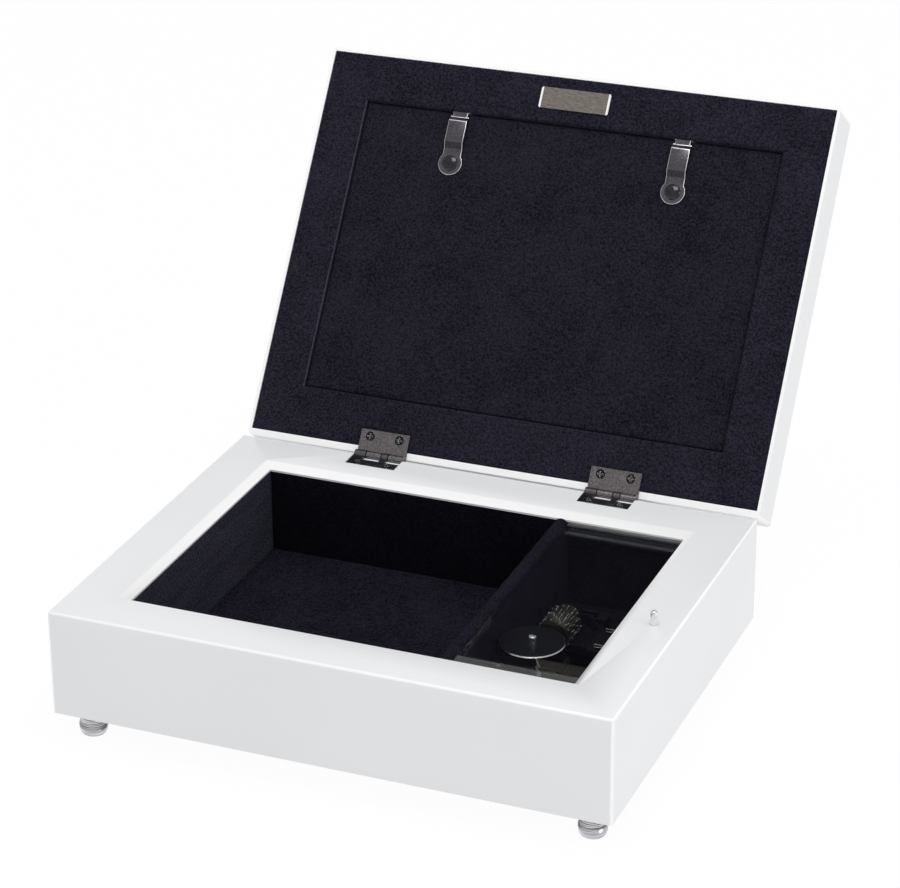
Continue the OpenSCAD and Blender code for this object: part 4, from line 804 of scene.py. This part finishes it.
# %% A strip carried round a rectangle
def rectangle_path(low, high, counts):
    """Points round a rectangle from its low corner, with the same number on opposite sides."""
    fx, fy = np.arange(counts[0]) / counts[0], np.arange(counts[1]) / counts[1]
    span_x, span_y = high[0] - low[0], high[1] - low[1]
    x = np.concatenate([low[0] + span_x * fx, np.full(counts[1], high[0]),
                        high[0] - span_x * fx, np.full(counts[1], low[0])])
    y = np.concatenate([np.full(counts[0], low[1]), low[1] + span_y * fy,
                        np.full(counts[0], high[1]), high[1] - span_y * fy])
    return np.stack([x, y], -1)


def framed_strip(outer, inner, section, counts):
    """Each row of section is (share of the way from the outer to the inner outline, height).
    Returns points as rows by columns by 3, so that they can be shaped further."""
    a, b = rectangle_path(*outer, counts), rectangle_path(*inner, counts)
    share, height = np.array(section, float).T
    flat = a[None] + (b - a)[None] * share[:, None, None]
    return np.concatenate([flat, np.repeat(height[:, None, None], len(a), 1)], -1)


floor_low, floor_high = (np.array(corner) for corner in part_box("music_floor"))
bed_low, bed_high = (43.8 * MM, -33.8 * MM), (85.0 * MM, 23.4 * MM)
floor_section = [(0.0, 0.0), (0.0, 0.7), (0.01, 0.9), (0.03, 0.97), (0.3, 1.0), (0.7, 0.97), (0.97, 0.97),
                 (0.99, 0.9), (1.0, 0.7), (1.0, 0.0), (0.5, 0.0)]
floor_counts = (40, 60)
floor_grid = framed_strip((floor_low[:2], floor_high[:2]), (bed_low, bed_high),
                          [(s, floor_low[2] + h * MM) for s, h in floor_section], floor_counts)
floor_shell = (floor_grid.reshape(-1, 3),
               grid_faces(len(floor_section), 2 * sum(floor_counts), True, True))
settle(closed_mesh("music floor", [floor_shell]), "suede_music_floor", ["music_floor"], sharp=60.0)
print("movement stands in its floor")

# %% [markdown]
# ## The lid's lining
# A sheet of suede is glued into the lid round the backing board. Its outer edge rolls down to
# the lacquer, and its inner edge is turned into the groove round the board. Under the hinge
# leaves it is pressed in, and at the clips' tabs the turned edge stops short. All of this is
# worked out for the closed lid, where the sheet lies level, and then swung open.

# %% Lid lining
def smooth_step(value):
    """0 below 0, 1 above 1, and a smooth S between."""
    value = np.clip(value, 0.0, 1.0)
    return value * value * (3 - 2 * value)


lining_outer = ((-112.6 * MM, -85.1 * MM), (112.6 * MM, 84.5 * MM))
groove_x = 93.5 * MM
lining_inner = ((-groove_x, -65.0 * MM), (groove_x, 63.0 * MM))
flat_shares = [(share, 0.0) for share in np.linspace(0.055, 0.945, 22)]
lining_section = [(0.0, 1.0), (0.0, 0.75), (0.012, 0.3), (0.03, 0.08), *flat_shares, (0.97, 0.08),
                  (0.985, 0.25), (1.0, 0.8), (1.0, 1.3), (1.0, 4.6), (0.993, 4.6), (0.993, 1.0), (0.5, 1.0)]
lining_counts = (150, 112)
lining = framed_strip(lining_outer, lining_inner, [(s, h * MM) for s, h in lining_section], lining_counts)
x, y, height = lining[..., 0], lining[..., 1], lining[..., 2].copy()
on_face = height < 0.5 * MM
height += np.where(on_face, 0.05 * MM + wander(lining.reshape(-1, 3), 0.05 * MM).reshape(x.shape), 0.0)
hinge_x, leaf_half, leaf_front = 51.5 * MM, 11.0 * MM, 77.2 * MM
pressed = smooth_step((leaf_half + 0.9 * MM - np.abs(np.abs(x) - hinge_x)) / (0.8 * MM))
pressed *= smooth_step((y - leaf_front + 0.9 * MM) / (0.8 * MM))
height = np.where(on_face, height * (1 - pressed) + 0.35 * MM * pressed, height)
tab_half, tab_front = 4.2 * MM, -60.0 * MM
at_tab = (np.abs(np.abs(x) - clip_x) < tab_half) & (y < tab_front)
height = np.where(at_tab, np.minimum(height, 1.1 * MM), height)
lining[..., 2] = lid_face + height
lining_shell = (swung(lining.reshape(-1, 3), -lid_angle),
                grid_faces(len(lining_section), 2 * sum(lining_counts), True, True))
# painted highlight: the top 1.4 mm of the groove's left wall takes the pale suede copy
highlight_depth = 1.4 * MM
lid_lining = settle(closed_mesh("lid lining", [lining_shell]), "suede_lid_lining", ["lid_suede"], sharp=60.0)
refinish(lid_lining, suede["turned"], lid_angle, lambda centres, normals:
         (normals[:, 0] > 0.7) & (np.abs(centres[:, 0] + groove_x) < 0.2 * MM)
         & (centres[:, 2] < lid_face + highlight_depth))
print("lid lined,", lining.shape[0] * lining.shape[1], "points")

# %% [markdown]
# ## The backing board
# The board that holds the picture is covered with the same suede, a shade more worn. A tongue
# on its hinged edge slips behind the lid's rail, and the two clips hold the other edge. The
# card behind it lies a hair clear of the glass, as a loose sheet does.

# %% Backing board
board_face, board_back = 58.8 * MM, 61.8 * MM
board_radius = 1.2 * MM
board = covered_board((-93.25 * MM, -64.75 * MM, board_face), (93.25 * MM, 62.75 * MM, board_back),
                      board_radius)
tongue = covered_board((-75.0 * MM, 55.0 * MM, board_back - 1.6 * MM), (75.0 * MM, 65.75 * MM, board_back))
board_shells = [(swung(points, -lid_angle), faces) for points, faces in (board, tongue)]
settle(closed_mesh("backing board", board_shells), "suede_backing_board", ["backing_board"], sharp=60.0)
card_low = (-88.8 * MM, -64.4 * MM, board_back + 0.05 * MM)
card_high = (88.8 * MM, 62.4 * MM, 62.35 * MM)
card_points, card_faces = covered_board(card_low, card_high, 0.1 * MM, 30.0 * MM, 0.0)
card_shell = (swung(card_points, -lid_angle), card_faces)
settle(closed_mesh("card", [card_shell]), "card_sheet", ["photo_card"], sharp=60.0)
print("backing board covered")

# %% [markdown]
# ## Camera
# A long lens well back from the box keeps its edges nearly parallel.
# The camera's three axes are given as columns: right, up, and back towards the camera.

# %% Camera
camera_data = bpy.data.cameras.new("long lens")
camera_data.lens = 127.556
camera_data.sensor_width = 36.0
camera_data.sensor_fit = "HORIZONTAL"
camera_data.clip_end = 20.0
camera = bpy.data.objects.new("camera", camera_data)
right = np.array([0.927187, 0.374548, -0.006166])
down = np.array([0.1514, -0.389743, -0.908393])
forward = np.array([-0.34264, 0.841317, -0.418071])
pose = np.eye(4)
pose[:3, 0], pose[:3, 1], pose[:3, 2] = right, -down, -forward
camera_place = (0.43500, -1.02772, 0.62134)
pose[:3, 3] = camera_place
camera.matrix_world = Matrix(pose.tolist())
bpy.context.scene.collection.objects.link(camera)
bpy.context.scene.camera = camera

# %% [markdown]
# ## Studio
# The box stands on a white floor that runs on to a white background. A broad softbox above it
# draws the soft sheen on the rims, a weaker one on the right fills that side, and the white
# surroundings light the rest.

# %% Floor, lamps and world
def floor_material():
    """A white floor: what the camera sees of it is mostly plain white, so its shadow is soft."""
    material, tree, shader, output = new_material("white sweep")
    shader.inputs["Base Color"].default_value = paint("#FAFAFA")
    shader.inputs["Roughness"].default_value = 0.9
    white = add(tree, "ShaderNodeEmission", {"Color": (1, 1, 1, 1), "Strength": 1.0})
    rays = add(tree, "ShaderNodeLightPath")
    seen = add(tree, "ShaderNodeMath", operation="MAXIMUM", links={0: rays.outputs["Is Camera Ray"],
                                                                 1: rays.outputs["Is Glossy Ray"]})
    seen = add(tree, "ShaderNodeMath", operation="MAXIMUM", links={0: seen.outputs[0],
                                                                 1: rays.outputs["Is Transmission Ray"]})
    plain_share = 0.97
    share = add(tree, "ShaderNodeMath", {1: plain_share}, {0: seen.outputs[0]}, operation="MULTIPLY")
    both = add(tree, "ShaderNodeMixShader", {}, {0: share.outputs[0], 1: shader.outputs["BSDF"],
                                               2: white.outputs["Emission"]})
    tree.links.new(both.outputs["Shader"], output.inputs["Surface"])
    return material


floor_mesh = bpy.data.meshes.new("floor")
reach = 12.0
floor_mesh.from_pydata([(-reach, -reach, 0), (reach, -reach, 0), (reach, reach, 0), (-reach, reach, 0)],
                       [], [(0, 1, 2, 3)])
floor_mesh.materials.append(floor_material())
floor = bpy.data.objects.new("floor", floor_mesh)
bpy.context.scene.collection.objects.link(floor)


def softbox(name, place, aim, width, height, power):
    """An area lamp at place that faces aim."""
    data = bpy.data.lights.new(name, "AREA")
    data.shape = "RECTANGLE"
    data.size, data.size_y, data.energy = width, height, power
    lamp = bpy.data.objects.new(name, data)
    towards = np.array(aim, float) - np.array(place, float)
    back = -towards / np.linalg.norm(towards)
    side = np.cross((0, 0, 1), back)
    side /= np.linalg.norm(side)
    turn = np.eye(4)
    turn[:3, 0], turn[:3, 1], turn[:3, 2], turn[:3, 3] = side, np.cross(back, side), back, place
    lamp.matrix_world = Matrix(turn.tolist())
    bpy.context.scene.collection.objects.link(lamp)


softbox("key softbox", (0.2, -0.3, 1.9), (0, 0, 0.05), 1.2, 0.9, 13.3)
softbox("right fill", (1.8, -0.3, 0.9), (0, 0, 0.05), 0.9, 0.9, 4.6)

world = bpy.data.worlds.new("white studio")
world.use_nodes = True
bpy.context.scene.world = world
air = world.node_tree
air.nodes.clear()
fill = add(air, "ShaderNodeBackground", {"Color": paint("#F6F6F7"), "Strength": 0.67})
white_air = add(air, "ShaderNodeBackground", {"Color": (1, 1, 1, 1), "Strength": 1.0})
rays = add(air, "ShaderNodeLightPath")
air_mix = add(air, "ShaderNodeMixShader", {}, {0: rays.outputs["Is Camera Ray"],
                                             1: fill.outputs["Background"],
                                             2: white_air.outputs["Background"]})
add(air, "ShaderNodeOutputWorld", links={"Surface": air_mix.outputs["Shader"]})
bpy.context.scene.view_settings.view_transform = "Standard"
